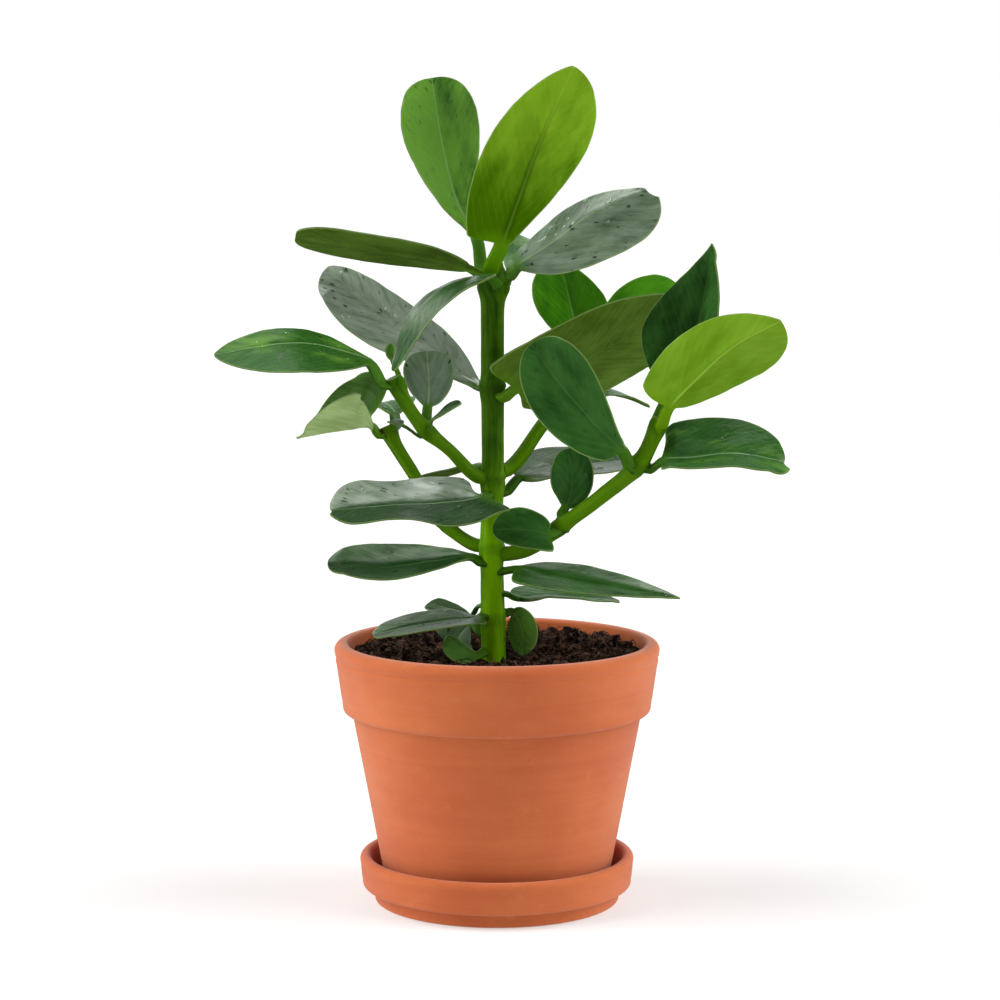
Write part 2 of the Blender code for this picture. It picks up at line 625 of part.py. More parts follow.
def build_saucer():
    lip = SAUCER_WALL / 2
    profile = [(0, 0), (SAUCER_FOOT_RADIUS, 0), (SAUCER_FOOT_RADIUS + 0.6, SAUCER_FOOT_HEIGHT)]
    profile += arc(SAUCER_BAND_RADIUS - 1.5, SAUCER_FOOT_HEIGHT + 1.5, 1.5, -90, 0, 2)
    profile += arc(SAUCER_LIP_RADIUS - lip, SAUCER_HEIGHT - lip, lip, 0, 180, 6)
    profile += [(SAUCER_LIP_RADIUS - SAUCER_WALL - 1.0, SAUCER_FLOOR + 4)]
    profile += arc(SAUCER_LIP_RADIUS - SAUCER_WALL - 4.5, SAUCER_FLOOR + 3, 3, -20, -90, 2)
    profile += [(0, SAUCER_FLOOR)]
    return add_object("saucer", turned(profile, TURNED_STEPS, False), CLAY_SAUCER, 0.85)


def build_pot():
    lip = 3.6
    inner_rim = POT_RIM_RADIUS - POT_WALL - 0.6
    floor = POT_BOTTOM + POT_FLOOR_THICKNESS
    profile = [(DRAIN_RADIUS, POT_BOTTOM)]
    profile += arc(POT_BASE_RADIUS - 1.5, POT_BOTTOM + 1.5, 1.5, -90, 0, 2)
    profile += [(POT_SHOULDER_RADIUS, POT_RIM_FOOT)]
    profile += arc(POT_RIM_FOOT_RADIUS - 1.5, POT_RIM_FOOT + 1.5, 1.5, -90, 0, 2)
    profile += arc(POT_RIM_RADIUS - lip, POT_TOP - lip, lip, 0, 90, 4)
    profile += arc(inner_rim + 2.2, POT_TOP - 2.2, 2.2, 90, 180, 2)
    profile += [(POT_SHOULDER_RADIUS - POT_WALL + 1.0, POT_RIM_FOOT)]
    profile += [(POT_BASE_RADIUS - POT_WALL, floor), (DRAIN_RADIUS, floor)]
    return add_object("pot", turned(profile, TURNED_STEPS, True), CLAY, 0.85)


def soil_level(x, y):
    """Height of the lumpy soil at a point, lowest at the stem."""
    from_stem = min(1.0, math.hypot(x - STEM_FOOT.x, y - STEM_FOOT.y) / 45)
    dish = SOIL_DISH * (1 - from_stem * from_stem * (3 - 2 * from_stem))
    lumps = noise.noise(Vector((x, y, 0)) / SOIL_LUMP_SIZE) + noise.noise(Vector((x, y, 50)) / 5)
    return SOIL_EDGE_LEVEL - dish + SOIL_ROUGHNESS * lumps


def build_soil():
    floor = POT_BOTTOM + POT_FLOOR_THICKNESS + SEAM_GAP
    inner_foot = POT_BASE_RADIUS - POT_WALL - SEAM_GAP * 1.5
    inner_shoulder = POT_SHOULDER_RADIUS - POT_WALL + 1.0 - SEAM_GAP * 1.5
    inner_rim = POT_RIM_RADIUS - POT_WALL - 0.6
    slope = (inner_rim - inner_shoulder) / (POT_TOP - 2.2 - POT_RIM_FOOT)
    edge = inner_shoulder + slope * (SOIL_EDGE_LEVEL - POT_RIM_FOOT) - SEAM_GAP * 2
    profile = [(0, floor), (inner_foot, floor), (inner_shoulder, POT_RIM_FOOT)]
    rings = [edge, edge - 4, 56, 48, 40, 32, 24, 17, 11, STEM_HOLE_RADIUS]
    profile += [(radius, SOIL_EDGE_LEVEL) for radius in rings]
    profile += [(STEM_HOLE_RADIUS, STEM_HOLE_BOTTOM), (0, STEM_HOLE_BOTTOM)]
    bm = turned(profile, SOIL_STEPS, False)
    for vert in bm.verts:
        x, y, z = vert.co / MM
        if z < STEM_HOLE_BOTTOM - 1 or abs(z - POT_RIM_FOOT) < 0.01 and math.hypot(x, y) > 20:
            continue
        closeness = min(1.0, (edge - math.hypot(x, y)) / (edge - STEM_HOLE_RADIUS))
        x += STEM_FOOT.x * closeness
        y += STEM_FOOT.y * closeness
        if z > SOIL_EDGE_LEVEL - 0.01:
            ease = min(1.0, closeness * 8)
            z = SOIL_EDGE_LEVEL + (soil_level(x, y) - SOIL_EDGE_LEVEL) * ease
        vert.co = Vector((x, y, z)) * MM
    return add_object("soil", bm, PEAT, 1.0)


def build():
    for old in list(bpy.data.objects):
        bpy.data.objects.remove(old)
    build_saucer()
    build_pot()
    build_soil()
    stems = {}
    for name in STEMS:
        stems[name] = Stem(name, stems)
        build_stem(name, stems[name])
    for name in LEAVES:
        build_leaf(name, Leaf(name, stems))


build()
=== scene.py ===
import math
import random
import bmesh
import bpy
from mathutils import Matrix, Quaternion, Vector, noise


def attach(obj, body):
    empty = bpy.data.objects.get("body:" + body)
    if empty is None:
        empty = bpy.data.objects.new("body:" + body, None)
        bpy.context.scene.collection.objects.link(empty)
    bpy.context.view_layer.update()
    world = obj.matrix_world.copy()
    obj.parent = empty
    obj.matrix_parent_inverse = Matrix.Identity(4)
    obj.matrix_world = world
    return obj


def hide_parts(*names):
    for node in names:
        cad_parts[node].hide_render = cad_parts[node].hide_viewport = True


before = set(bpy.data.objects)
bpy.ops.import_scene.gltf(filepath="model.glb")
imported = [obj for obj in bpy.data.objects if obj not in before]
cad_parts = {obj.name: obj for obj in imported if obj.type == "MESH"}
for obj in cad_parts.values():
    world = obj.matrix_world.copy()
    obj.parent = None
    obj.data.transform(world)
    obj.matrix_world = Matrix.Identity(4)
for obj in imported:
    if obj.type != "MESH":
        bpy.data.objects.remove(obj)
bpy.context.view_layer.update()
print("frame loaded with", len(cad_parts), "nodes")

# tables and sizes below are in millimetres; meshes are made in metres
mm = 0.001
seamGap = 0.3
sameLevel = 0.01
weld = 1e-7
fullTurn = 2 * math.pi

# camera at the photo's angle, looking a little down
photoCamera = dict(
    place=(0.0, -1.2303, 0.3202), down=0.109, lens=97.2, sensor=36.0, shift=0.003, nearest=0.05,
)


def added(name, data):
    # an object in the scene that holds this mesh, light or camera
    made = bpy.data.objects.new(name, data)
    bpy.context.scene.collection.objects.link(made)
    return made


def setCamera(look):
    data = bpy.data.cameras.new("photoCamera")
    data.lens, data.sensor_width = look["lens"], look["sensor"]
    data.shift_x, data.clip_start = look["shift"], look["nearest"]
    made = added("photoCamera", data)
    made.location = look["place"]
    made.rotation_euler = (math.pi / 2 - look["down"], 0, 0)
    bpy.context.scene.camera = made


setCamera(photoCamera)


def maths(operation, swapped=False):
    # an operator of Link that adds a Math node; swapped is for a link on the right
    def work(link, *others):
        values = (*others, link) if swapped else (link, *others)
        return link.finish.node(
            "ShaderNodeMath", {"operation": operation}, dict(enumerate(values))
        )
    return work


class Link:
    # wraps an output socket, so that shader sums read as plain sums
    def __init__(self, finish, socket):
        self.finish = finish
        self.socket = socket

    __add__ = __radd__ = maths("ADD")
    __sub__ = maths("SUBTRACT")
    __rsub__ = maths("SUBTRACT", swapped=True)
    __mul__ = __rmul__ = maths("MULTIPLY")
    __truediv__ = maths("DIVIDE")
    __rtruediv__ = maths("DIVIDE", swapped=True)
    __abs__ = maths("ABSOLUTE")
    sine = maths("SINE")
    atLeast = maths("MAXIMUM")

    def between(self, low, high):
        # 0 below low, 1 above high, smooth in between; low may be above high
        return self.finish.node(
            "ShaderNodeMapRange", {"interpolation_type": "SMOOTHSTEP"},
            {"Value": self, "From Min": low, "From Max": high, "To Min": 0.0, "To Max": 1.0},
        )


class Finish:
    # a material that is built up from nodes round its Principled shader
    def __init__(self, name, **constants):
        self.material = bpy.data.materials.new(name)
        self.material.use_nodes = True
        self.tree = self.material.node_tree
        self.shader = self.tree.nodes["Principled BSDF"]
        for socket, value in constants.items():
            self.shader.inputs[socket.replace("_", " ")].default_value = value

    def node(self, kind, settings=None, values=None, output=0):
        made = self.tree.nodes.new(kind)
        for key, value in (settings or {}).items():
            setattr(made, key, value)
        for key, value in (values or {}).items():
            if isinstance(value, Link):
                self.tree.links.new(value.socket, made.inputs[key])
            else:
                made.inputs[key].default_value = value
        return Link(self, made.outputs[output])

    def split(self, vector):
        made = self.node("ShaderNodeSeparateXYZ", {}, {0: vector})
        return [made] + [Link(self, made.socket.node.outputs[k]) for k in (1, 2)]

    def join(self, x, y, z):
        return self.node("ShaderNodeCombineXYZ", {}, {0: x, 1: y, 2: z})

    def kept(self, name):
        # the three numbers that a mesh keeps at each point under this name
        return self.split(self.node("ShaderNodeAttribute", {"attribute_name": name}, {}, 1))

    def place(self, *scale):
        # Object coordinates, in metres, times one scale or a scale for each axis
        made = self.node("ShaderNodeTexCoord", {}, {}, 3)
        return self.node("ShaderNodeMapping", {}, {"Vector": made, "Scale": (scale * 3)[:3]})

    def cloud(self, vector, detail=3.0, roughness=0.55):
        return self.node("ShaderNodeTexNoise", {}, {
            "Vector": vector, "Scale": 1.0, "Detail": detail, "Roughness": roughness,
        })

    def cells(self, vector, output="Distance"):
        return self.node("ShaderNodeTexVoronoi", {}, {"Vector": vector, "Scale": 1.0}, output)

    def mix(self, factor, low, high):
        low, high = ((*c, 1.0) if isinstance(c, tuple) else c for c in (low, high))
        return self.node("ShaderNodeMix", {"data_type": "RGBA"}, {0: factor, 6: low, 7: high}, 2)

    def wear(self, bumps, **inputs):
        # bumps is a height in millimetres
        inputs["Normal"] = self.node("ShaderNodeBump", {}, {"Distance": mm, "Height": bumps})
        for socket, link in inputs.items():
            self.tree.links.new(link.socket, self.shader.inputs[socket.replace("_", " ")])
        return self.material


# leaf finishes: colours of the upper and the under face as (deep, light), linear
leafLooks = {
    "crown": dict(
        slot="lime_leaf", under=((0.042, 0.118, 0.0), (0.172, 0.338, 0.014)),
        rib=(0.33, 0.47, 0.06), ribShow=0.35, groove=0.6, rise=1.15, petiole=(0.085, 0.225, 0.003),
        gloss=0.0, sheen=0.1, underStreaks=0.3,
    ),
    "lime": dict(
        slot="lime_leaf", under=((0.092, 0.21, 0.003), (0.185, 0.35, 0.024)),
        rib=(0.33, 0.48, 0.07), ribShow=0.6, rise=0.2, petiole=(0.12, 0.26, 0.004), gloss=0.02,
        sheen=0.1, underStreaks=0.3,
    ),
    "fresh": dict(
        slot="green_leaf", upper=((0.014, 0.085, 0.004), (0.115, 0.285, 0.026)),
        under=((0.08, 0.16, 0.015), (0.15, 0.27, 0.04)), rib=(0.23, 0.38, 0.16), ribShow=0.55,
        petiole=(0.05, 0.15, 0.01), gloss=0.05, sheen=0.45, dents=0.45,
    ),
    "bright": dict(
        slot="green_leaf", upper=((0.03, 0.155, 0.0), (0.064, 0.265, 0.001)),
        under=((0.08, 0.19, 0.008), (0.15, 0.29, 0.02)), rib=(0.2, 0.4, 0.08), ribShow=0.6,
        petiole=(0.06, 0.19, 0.006), gloss=0.0, sheen=0.25,
    ),
    "slate": dict(
        upper=((0.012, 0.044, 0.009), (0.06, 0.118, 0.045)),
        under=((0.06, 0.12, 0.022), (0.1, 0.19, 0.04)), rib=(0.24, 0.36, 0.17), ribShow=0.55,
        petiole=(0.06, 0.16, 0.014), gloss=0.08, sheen=0.55, underStreaks=0.4, dents=0.85,
    ),
    "deep": dict(
        upper=((0.006, 0.042, 0.002), (0.028, 0.112, 0.014)),
        under=((0.05, 0.11, 0.014), (0.095, 0.18, 0.03)), rib=(0.12, 0.24, 0.06), ribShow=0.18,
        petiole=(0.045, 0.14, 0.008), gloss=0.03, sheen=0.4, underStreaks=0.4, dents=0.3,
    ),
    "olive": dict(
        slot="green_leaf", upper=((0.02, 0.085, 0.02), (0.05, 0.15, 0.035)),
        under=((0.04, 0.086, 0.003), (0.108, 0.2, 0.024)), rib=(0.15, 0.26, 0.035), ribShow=0.2,
        petiole=(0.09, 0.21, 0.01), gloss=0.03, sheen=0.2, underStreaks=0.65,
    ),
    "pale": dict(
        slot="lime_leaf", upper=((0.045, 0.12, 0.016), (0.095, 0.21, 0.04)),
        under=((0.26, 0.41, 0.125), (0.48, 0.64, 0.29)), rib=(0.42, 0.56, 0.2), ribShow=0.5,
        petiole=(0.11, 0.26, 0.012), gloss=0.06, sheen=0.25, underStreaks=0.8,
    ),
    "young": dict(
        slot="lime_leaf", upper=((0.03, 0.1, 0.008), (0.06, 0.17, 0.016)),
        under=((0.045, 0.125, 0.01), (0.1, 0.22, 0.03)), rib=(0.22, 0.35, 0.09), ribShow=0.3,
        petiole=(0.07, 0.19, 0.01), gloss=0.05, sheen=0.2,
    ),
}
plainLeafLook = dict(
    slot="dark_leaf", upper=((0.03, 0.11, 0.012), (0.055, 0.17, 0.02)), groove=0.0, rise=0.0,
    dents=0.0, underStreaks=0.35,
)
leafSurface = dict(
    margin=(0.33, 0.48, 0.14), marginWidth=0.45, marginShow=0.45, ribWidth=0.6,
    veinLean=math.radians(30), veinGap=2.6, veinShow=0.06, underVeinShow=0.16,
    # the wet spots are darkened, partly as wet leaf and partly as painted shade, and the silvery
    # bloom's grey-green carries painted sheen
    wetShare=0.42, roughness=0.34, wetAndDentShade=0.3, bloomAndSheen=(0.275, 0.335, 0.26),
    # the colour of the painted shade in the midrib groove, and the half width of its band
    groove=(0.016, 0.052, 0.001), grooveShadeHalf=3.0,
)
# how tight each leaf pattern is along the leaf or its side veins, across, and from face to face,
# and then its detail and its roughness
leafPatterns = dict(
    blotches=(0.045, 0.09, 0.05, 3, 0.55), patches=(0.06, 0.15, 7, 4, 0.6),
    streaks=(0.05, 0.55, 3, 4, 0.65), grain=(0.9, 2.6, 1, 3, 0.55), swells=(0.1, 0.14, 1, 2, 0.55),
)
dropPattern = (0.2, 0.52, 4)


def leafFinish(name, look):
    finish = Finish(
        name, IOR=1.45, Specular_IOR_Level=look["gloss"], Coat_Roughness=0.22, Coat_IOR=1.45,
    )
    surface, dents, underStreaks = leafSurface, look["dents"], look["underStreaks"]
    share, _, face = finish.kept("leafPlace")
    # per half: lighter or darker, partly painted shade; silvery bloom with painted sheen and a
    # painted highlight band; coat
    toneAndPaintedShade, bloomAndSheen, shine = finish.kept("leafShade")
    reach, out, edge = finish.kept("leafReach")
    away = abs(out)
    upper = face.between(-0.25, 0.25)
    onBlade = share.atLeast(0.0)
    lean = surface["veinLean"]
    # "run" goes outwards along the side veins, "gap" goes across them
    run = reach * math.cos(lean) + away * math.sin(lean)
    gap = away * math.cos(lean) - reach * math.sin(lean)

    def pattern(name, x, y, z):
        a, b, c, detail, roughness = leafPatterns[name]
        return finish.cloud(finish.join(x * a, y * b, z * c), detail, roughness)

    blotches = pattern("blotches", reach, away, out)
    patches = pattern("patches", run, gap, face)
    streaks = pattern("streaks", run, gap, face)
    grain = pattern("grain", run, gap, face)
    swells = pattern("swells", reach, out, face)
    veinWave = (gap * (fullTurn / surface["veinGap"]) + blotches * 5).sine()
    veins = veinWave.between(0.72, 1.0) * away.between(0.4, 2.0)

    tone = (blotches - 0.5) * 2.0 + (streaks - 0.5) * 0.7 + toneAndPaintedShade + 0.5
    upperColour = finish.mix(tone.between(0.0, 1.0), *look["upper"])
    # silvery bloom in patches and streaks, which also stands for painted sheen
    bloom = bloomAndSheen * ((patches - 0.5) * 2.8 + (streaks - 0.5) * 1.4 + 1.05)
    upperColour = finish.mix(bloom.between(-0.1, 1.1), upperColour, surface["bloomAndSheen"])
    upperColour = finish.mix(veins * surface["veinShow"], upperColour, look["rib"])
    # the under face grows lighter towards the tip by rise: painted light from behind that shows
    # through the blade
    underTone = (
        (blotches - 0.5) * 1.2 + (streaks - 0.5) * (1.3 * underStreaks)
        + (share - 0.5) * look["rise"] + toneAndPaintedShade + 0.5
    )
    underColour = finish.mix(underTone.between(0.0, 1.0), *look["under"])
    underVeins = veins * (surface["underVeinShow"] * underStreaks)
    underColour = finish.mix(underVeins, underColour, look["rib"])

    # dents and flat drops of water, drawn out along the side veins and pushed out of line; they are
    # painted darker, partly as wet leaf and partly as painted shade, with a painted highlight on
    # their rim
    wetPlace = finish.join(
        run * dropPattern[0] + (patches - 0.5) * 2.0, gap * dropPattern[1] + (streaks - 0.5) * 2.5,
        face * dropPattern[2],
    )
    near = finish.cells(wetPlace)
    chance = finish.split(finish.cells(wetPlace, "Color"))[0]
    dry = 1 - surface["wetShare"]
    wet = near.between(0.34, 0.16) * chance.between(dry, dry + 0.02) * upper
    paintedRimHighlight = near.between(0.16, 0.30) * wet
    wetAndDentShade = tuple(shade * surface["wetAndDentShade"] for shade in look["upper"][0])
    upperColour = finish.mix(wet * dents, upperColour, wetAndDentShade)
    upperColour = finish.mix(paintedRimHighlight * (dents * 0.5), upperColour, look["rib"])

    ribHalf = surface["ribWidth"] * (1.05 - onBlade * 0.75)
    rib = (away / ribHalf).between(1.25, 0.55) * share.between(-0.02, 0.03)
    colour = finish.mix(upper, underColour, upperColour)
    colour = finish.mix(rib * look["ribShow"], colour, look["rib"])
    # a dark band of painted shade runs along the midrib groove of the crown leaf and fades out
    # towards the tip
    band = (away / (surface["grooveShadeHalf"] - onBlade * 2.4)).between(1.15, 0.25)
    grooveShade = band * share.between(0.95, 0.35) * look["groove"]
    colour = finish.mix(grooveShade, colour, surface["groove"])
    colour = finish.mix(share.between(0.10, -0.02), colour, look["petiole"])
    margin = edge.between(surface["marginWidth"], 0.1) * share.between(-0.02, 0.06)
    colour = finish.mix(margin * surface["marginShow"], colour, surface["margin"])

    wetness = wet * dents
    bumps = (
        wetness * 0.35 + streaks * 0.12 + veins * (0.04 - upper * 0.08) + grain * 0.03
        + patches * 0.9 + swells * 0.9
    )
    rough = surface["roughness"] + (streaks - 0.5) * 0.22 + (1 - upper) * 0.12 - wetness * 0.22
    coat = (upper * 0.85 + 0.15) * look["sheen"] * shine * (0.4 + patches * 1.2) + wetness * 0.35
    return finish.wear(bumps, Base_Color=colour, Roughness=rough, Coat_Weight=coat)


waterFinish = Finish(
    "waterDrop", Base_Color=(0.92, 0.97, 0.93, 1.0), Roughness=0.03, IOR=1.33,
    Transmission_Weight=1.0,
)
leafLooks = {name: {**plainLeafLook, **look} for name, look in leafLooks.items()}
leafFinishes = {name: leafFinish(name + "Leaf", look) for name, look in leafLooks.items()}

# stem finishes: "turn" gives the heights, in metres, between which the colour turns to upper
stemLooks = {
    "oldStem": dict(
        light=(0.165, 0.39, 0.0), deep=(0.024, 0.105, 0.0), upperLight=(0.055, 0.14, 0.004),
        upperDeep=(0.009, 0.04, 0.0), turn=(0.16, 0.215),
    ),
    "youngStem": dict(
        light=(0.076, 0.19, 0.001), deep=(0.01, 0.048, 0.0), upperLight=(0.066, 0.175, 0.002),
        upperDeep=(0.012, 0.052, 0.0), turn=(0.2, 0.26),
    ),
}
stemScar = (0.045, 0.026, 0.010)


def stemFinish(name, look):
    finish = Finish(name, IOR=1.45, Specular_IOR_Level=0.06)
    reach, around, node = finish.kept("stemPlace")
    normal = finish.split(finish.node("ShaderNodeNewGeometry", {}, {}, 1))
    height = finish.split(finish.place(1))[2]
    streaks = finish.cloud(finish.join(reach * 0.035, around * 0.45, 0.0), 4, 0.6)
    blotches = finish.cloud(finish.join(reach * 0.12, around * 0.12, 5.0))
    pores = finish.cells(finish.join(reach * 0.35, around * 0.8, 0.0))
    high = height.between(*look["turn"])
    light = finish.mix(high, look["light"], look["upperLight"])
    deep = finish.mix(high, look["deep"], look["upperDeep"])
    # painted shade and light: the lower stem is painted darker on its flanks, the upper stem along
    # its front and its back
    flankShading = abs(normal[0]).between(0.25, 1.0)
    tone = (
        1.0 - flankShading * 0.5 - high * (0.55 - flankShading * 0.75)
        + (streaks - 0.5) * 1.3 + (blotches - 0.5) * 0.7
    )
    colour = finish.mix(tone.between(0.0, 1.0), deep, light)
    colour = finish.mix(node.between(0.15, 0.9) * 0.35, colour, deep)
    scars = node.between(0.55, 0.95) * blotches.between(0.56, 0.66)
    specks = pores.between(0.14, 0.06) * streaks.between(0.52, 0.60)
    colour = finish.mix(scars * 0.8, colour, stemScar)
    colour = finish.mix(specks * 0.5, colour, stemScar)
    bumps = streaks * 0.25 + blotches * 0.25 - scars * 0.2 - specks * 0.1
    rough = 0.40 + (streaks - 0.5) * 0.2 + scars * 0.3
    return finish.wear(bumps, Base_Color=colour, Roughness=rough)


stemFinishes = {name: stemFinish(name, look) for name, look in stemLooks.items()}

clayLook = dict(
    deep=(0.41, 0.074, 0.012), light=(0.53, 0.136, 0.034), bloom=(0.64, 0.24, 0.085),
    speck=(0.25, 0.08, 0.035), roughness=0.82,
)


def clayFinish(name, look):
    finish = Finish(
        name, IOR=1.4, Specular_IOR_Level=0.5, Sheen_Weight=0.16, Sheen_Roughness=0.6,
    )
    clouds = finish.cloud(finish.place(14, 14, 20), 4, 0.6)
    turning = finish.cloud(finish.place(7, 7, 420), 3, 0.6)
    wideTurning = finish.cloud(finish.place(4, 4, 90), 3, 0.5)
    grain = finish.cloud(finish.place(900), 3, 0.7)
    dust = finish.cloud(finish.place(60), 5, 0.7)
    specks = finish.cells(finish.place(420)).between(0.13, 0.07)
    tone = (
        (clouds - 0.5) * 1.2 + (wideTurning - 0.5) * 0.4 + (turning - 0.5) * 0.25
        + (grain - 0.5) * 0.30 + 0.5
    )
    colour = finish.mix(tone.between(0.0, 1.0), look["deep"], look["light"])
    colour = finish.mix(dust.between(0.58, 0.80) * 0.35, colour, look["bloom"])
    colour = finish.mix(specks * 0.4, colour, look["speck"])
    bumps = turning * 0.04 + wideTurning * 0.05 + grain * 0.05 - specks * 0.05
    rough = look["roughness"] + (dust - 0.5) * 0.2
    return finish.wear(bumps, Base_Color=colour, Roughness=rough)


clayMade = clayFinish("terracotta", clayLook)

soilLook = dict(deep=(0.0032, 0.0019, 0.0013), light=(0.165, 0.09, 0.06), lift=0.25)
fibreLook = dict(deep=(0.018, 0.009, 0.005), light=(0.24, 0.14, 0.088), lift=0.40)


def soilFinish(name, look):
    finish = Finish(name, IOR=1.3, Specular_IOR_Level=0.1)
    lumps = finish.cloud(finish.place(160), 5, 0.7)
    crumbs = finish.cloud(finish.place(620), 4, 0.75)
    tone = (lumps - 0.5) * 2.6 + (crumbs - 0.5) * 1.8 + look["lift"]
    colour = finish.mix(tone.between(0.0, 1.0), look["deep"], look["light"])
    bumps = lumps * 0.8 + crumbs * 0.6
    return finish.wear(bumps, Base_Color=colour, Roughness=0.92 - crumbs * 0.15)


soilFinishes = [soilFinish("peat", soilLook), soilFinish("peatFibre", fibreLook)]
print("finishes made:", len(bpy.data.materials))


def grownPiece(name, bm, materials, node):
    # hands a finished bmesh over to the frame as the piece that stands for a node
    mesh = bpy.data.meshes.new(name)
    bm.to_mesh(mesh)
    bm.free()
    for made in materials:
        mesh.materials.append(made)
    mesh.shade_smooth()
    mesh.set_sharp_from_angle(angle=math.radians(50))
    piece = added(name, mesh)
    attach(piece, "root")
    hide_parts(node)


def smoothPath(points, start, steps, fineSteps=16):
    # a curve through the points that sets off in a given direction, evenly spread
    chords = [b - a for a, b in zip(points, points[1:])]
    ways = [chord.normalized() for chord in chords]
    turns = [start] + [(a + b).normalized() for a, b in zip(ways, ways[1:])] + [ways[-1]]
    fine = []
    for k, chord in enumerate(chords):
        for step in range(fineSteps):
            t = step / fineSteps
            passed = 3 * t ** 2 - 2 * t ** 3
            fine.append(
                points[k] * (1 - passed) + points[k + 1] * passed
                + turns[k] * chord.length * (t - 2 * t ** 2 + t ** 3)
                + turns[k + 1] * chord.length * (t ** 3 - t ** 2)
            )
    fine.append(points[-1].copy())
    reach = [0.0]
    for a, b in zip(fine, fine[1:]):
        reach.append(reach[-1] + (b - a).length)
    even = []
    k = 1
    for step in range(steps + 1):
        distance = reach[-1] * step / steps
        while k < len(fine) - 1 and reach[k] < distance:
            k += 1
        part = (distance - reach[k - 1]) / max(reach[k] - reach[k - 1], 1e-9)
        even.append(fine[k - 1].lerp(fine[k], min(max(part, 0.0), 1.0)))
    return even


def pathLength(points):
    return sum((b - a).length for a, b in zip(points, points[1:]))


def readAt(values, share):
    # the value at a share of an evenly spread list
    place = min(max(share, 0.0), 1.0) * (len(values) - 1)
    low = min(int(place), len(values) - 2)
    return values[low] * (1 - place + low) + values[low + 1] * (place - low)


def swell(distance, width):
    # 1 at no distance, falling off smoothly over a width
    return math.exp(-((distance / width) ** 2))


def rollGrid(bm, rings, around, corner, kept=()):
    # a grid rolled into a tube with closed ends; corner(ring, step) gives a point and what it keeps
    layers = [bm.verts.layers.float_vector.new(name) for name in kept]
    made = bmesh.ops.create_grid(bm, x_segments=rings - 1, y_segments=around, size=1)["verts"]
    for vert in made:
        ring = round((vert.co.x + 1) / 2 * (rings - 1))
        step = round((vert.co.y + 1) / 2 * around) % around
        point, *values = corner(ring, step)
        vert.co = point * mm
        for layer, value in zip(layers, values):
            vert[layer] = value
    bmesh.ops.remove_doubles(bm, verts=made, dist=weld)
    ends = [edge for edge in bm.edges if edge.is_boundary]
    caps = bmesh.ops.holes_fill(bm, edges=ends, sides=0)["faces"]
    bmesh.ops.triangulate(bm, faces=caps)
    kin = dict.fromkeys(face for vert in made if vert.is_valid for face in vert.link_faces)
    bmesh.ops.recalc_face_normals(bm, faces=list(kin))
    return list(kin)


# each stem: points of its axis, radius at each, and its nodes as (distance along, swelling);
# a branch leaves the stem that "stem" names, at a distance along it
stems = {
    "main_stem": dict(
        points=[
            (-1.5, -10, 88.4), (-1.5, -10, 113), (-2, -8, 138), (-2.5, -3, 165), (-2, 0, 195),
            (-2, 0, 238), (-2, 0, 272), (-1.5, 0, 285), (-1, 0, 294),
        ],
        radii=[5.3, 5.6, 5.4, 5.1, 5.1, 5.2, 5.4, 5.6, 4.2],
        nodes=[(43, 0.5), (75, 1.0), (107, 0.9), (149, 0.9), (196, 2.2)], look="oldStem",
    ),
    "branch_left_upper": dict(
        stem="main_stem", at=108,
        points=[(-21, -10, 209), (-34, -15, 221), (-42, -18, 233), (-46.5, -19.5, 243)],
        radii=[3.1, 2.8, 3.0, 3.2, 3.6], nodes=[(35, 0.9), (61, 0.8)], look="youngStem",
    ),
    "branch_left_lower": dict(
        stem="main_stem", at=77,
        points=[(-22, 5, 172), (-32, 10, 184), (-38, 14, 195), (-48, 17, 211), (-51, 18, 218)],
        radii=[3.2, 2.9, 2.9, 3.0, 3.2, 3.6], nodes=[(20, 0.6), (71, 0.8)], look="youngStem",
    ),
    "branch_right": dict(
        stem="main_stem", at=73,
        points=[
            (15, -8, 164), (29, -13, 175), (48, -19, 190), (64, -24, 205), (70, -26, 217),
            (73, -27, 225),
        ],
        radii=[3.5, 3.1, 3.3, 3.5, 3.7, 3.6, 3.6], nodes=[(30, 0.9), (76, 1.0), (97, 0.7)],
        look="youngStem",
    ),
    "branch_back": dict(
        stem="main_stem", at=111, points=[(21, 14, 219), (31, 21, 231), (37, 26, 239)],
        radii=[3.4, 3.1, 3.1, 3.5], nodes=[(46, 0.9)], look="youngStem",
    ),
}
stemBuild = dict(
    sides=40, ringGap=1.3, pathSteps=64, nodeLength=5.0, sunk=1.5,
    # ring scars at the nodes
    collar=0.45, collarAt=1.6, collarWidth=0.8, scarWidth=0.6, scarDepth=0.8,
    uneven=0.18, endLength=1.5, endShare=0.9, scarReach=3.5,
)


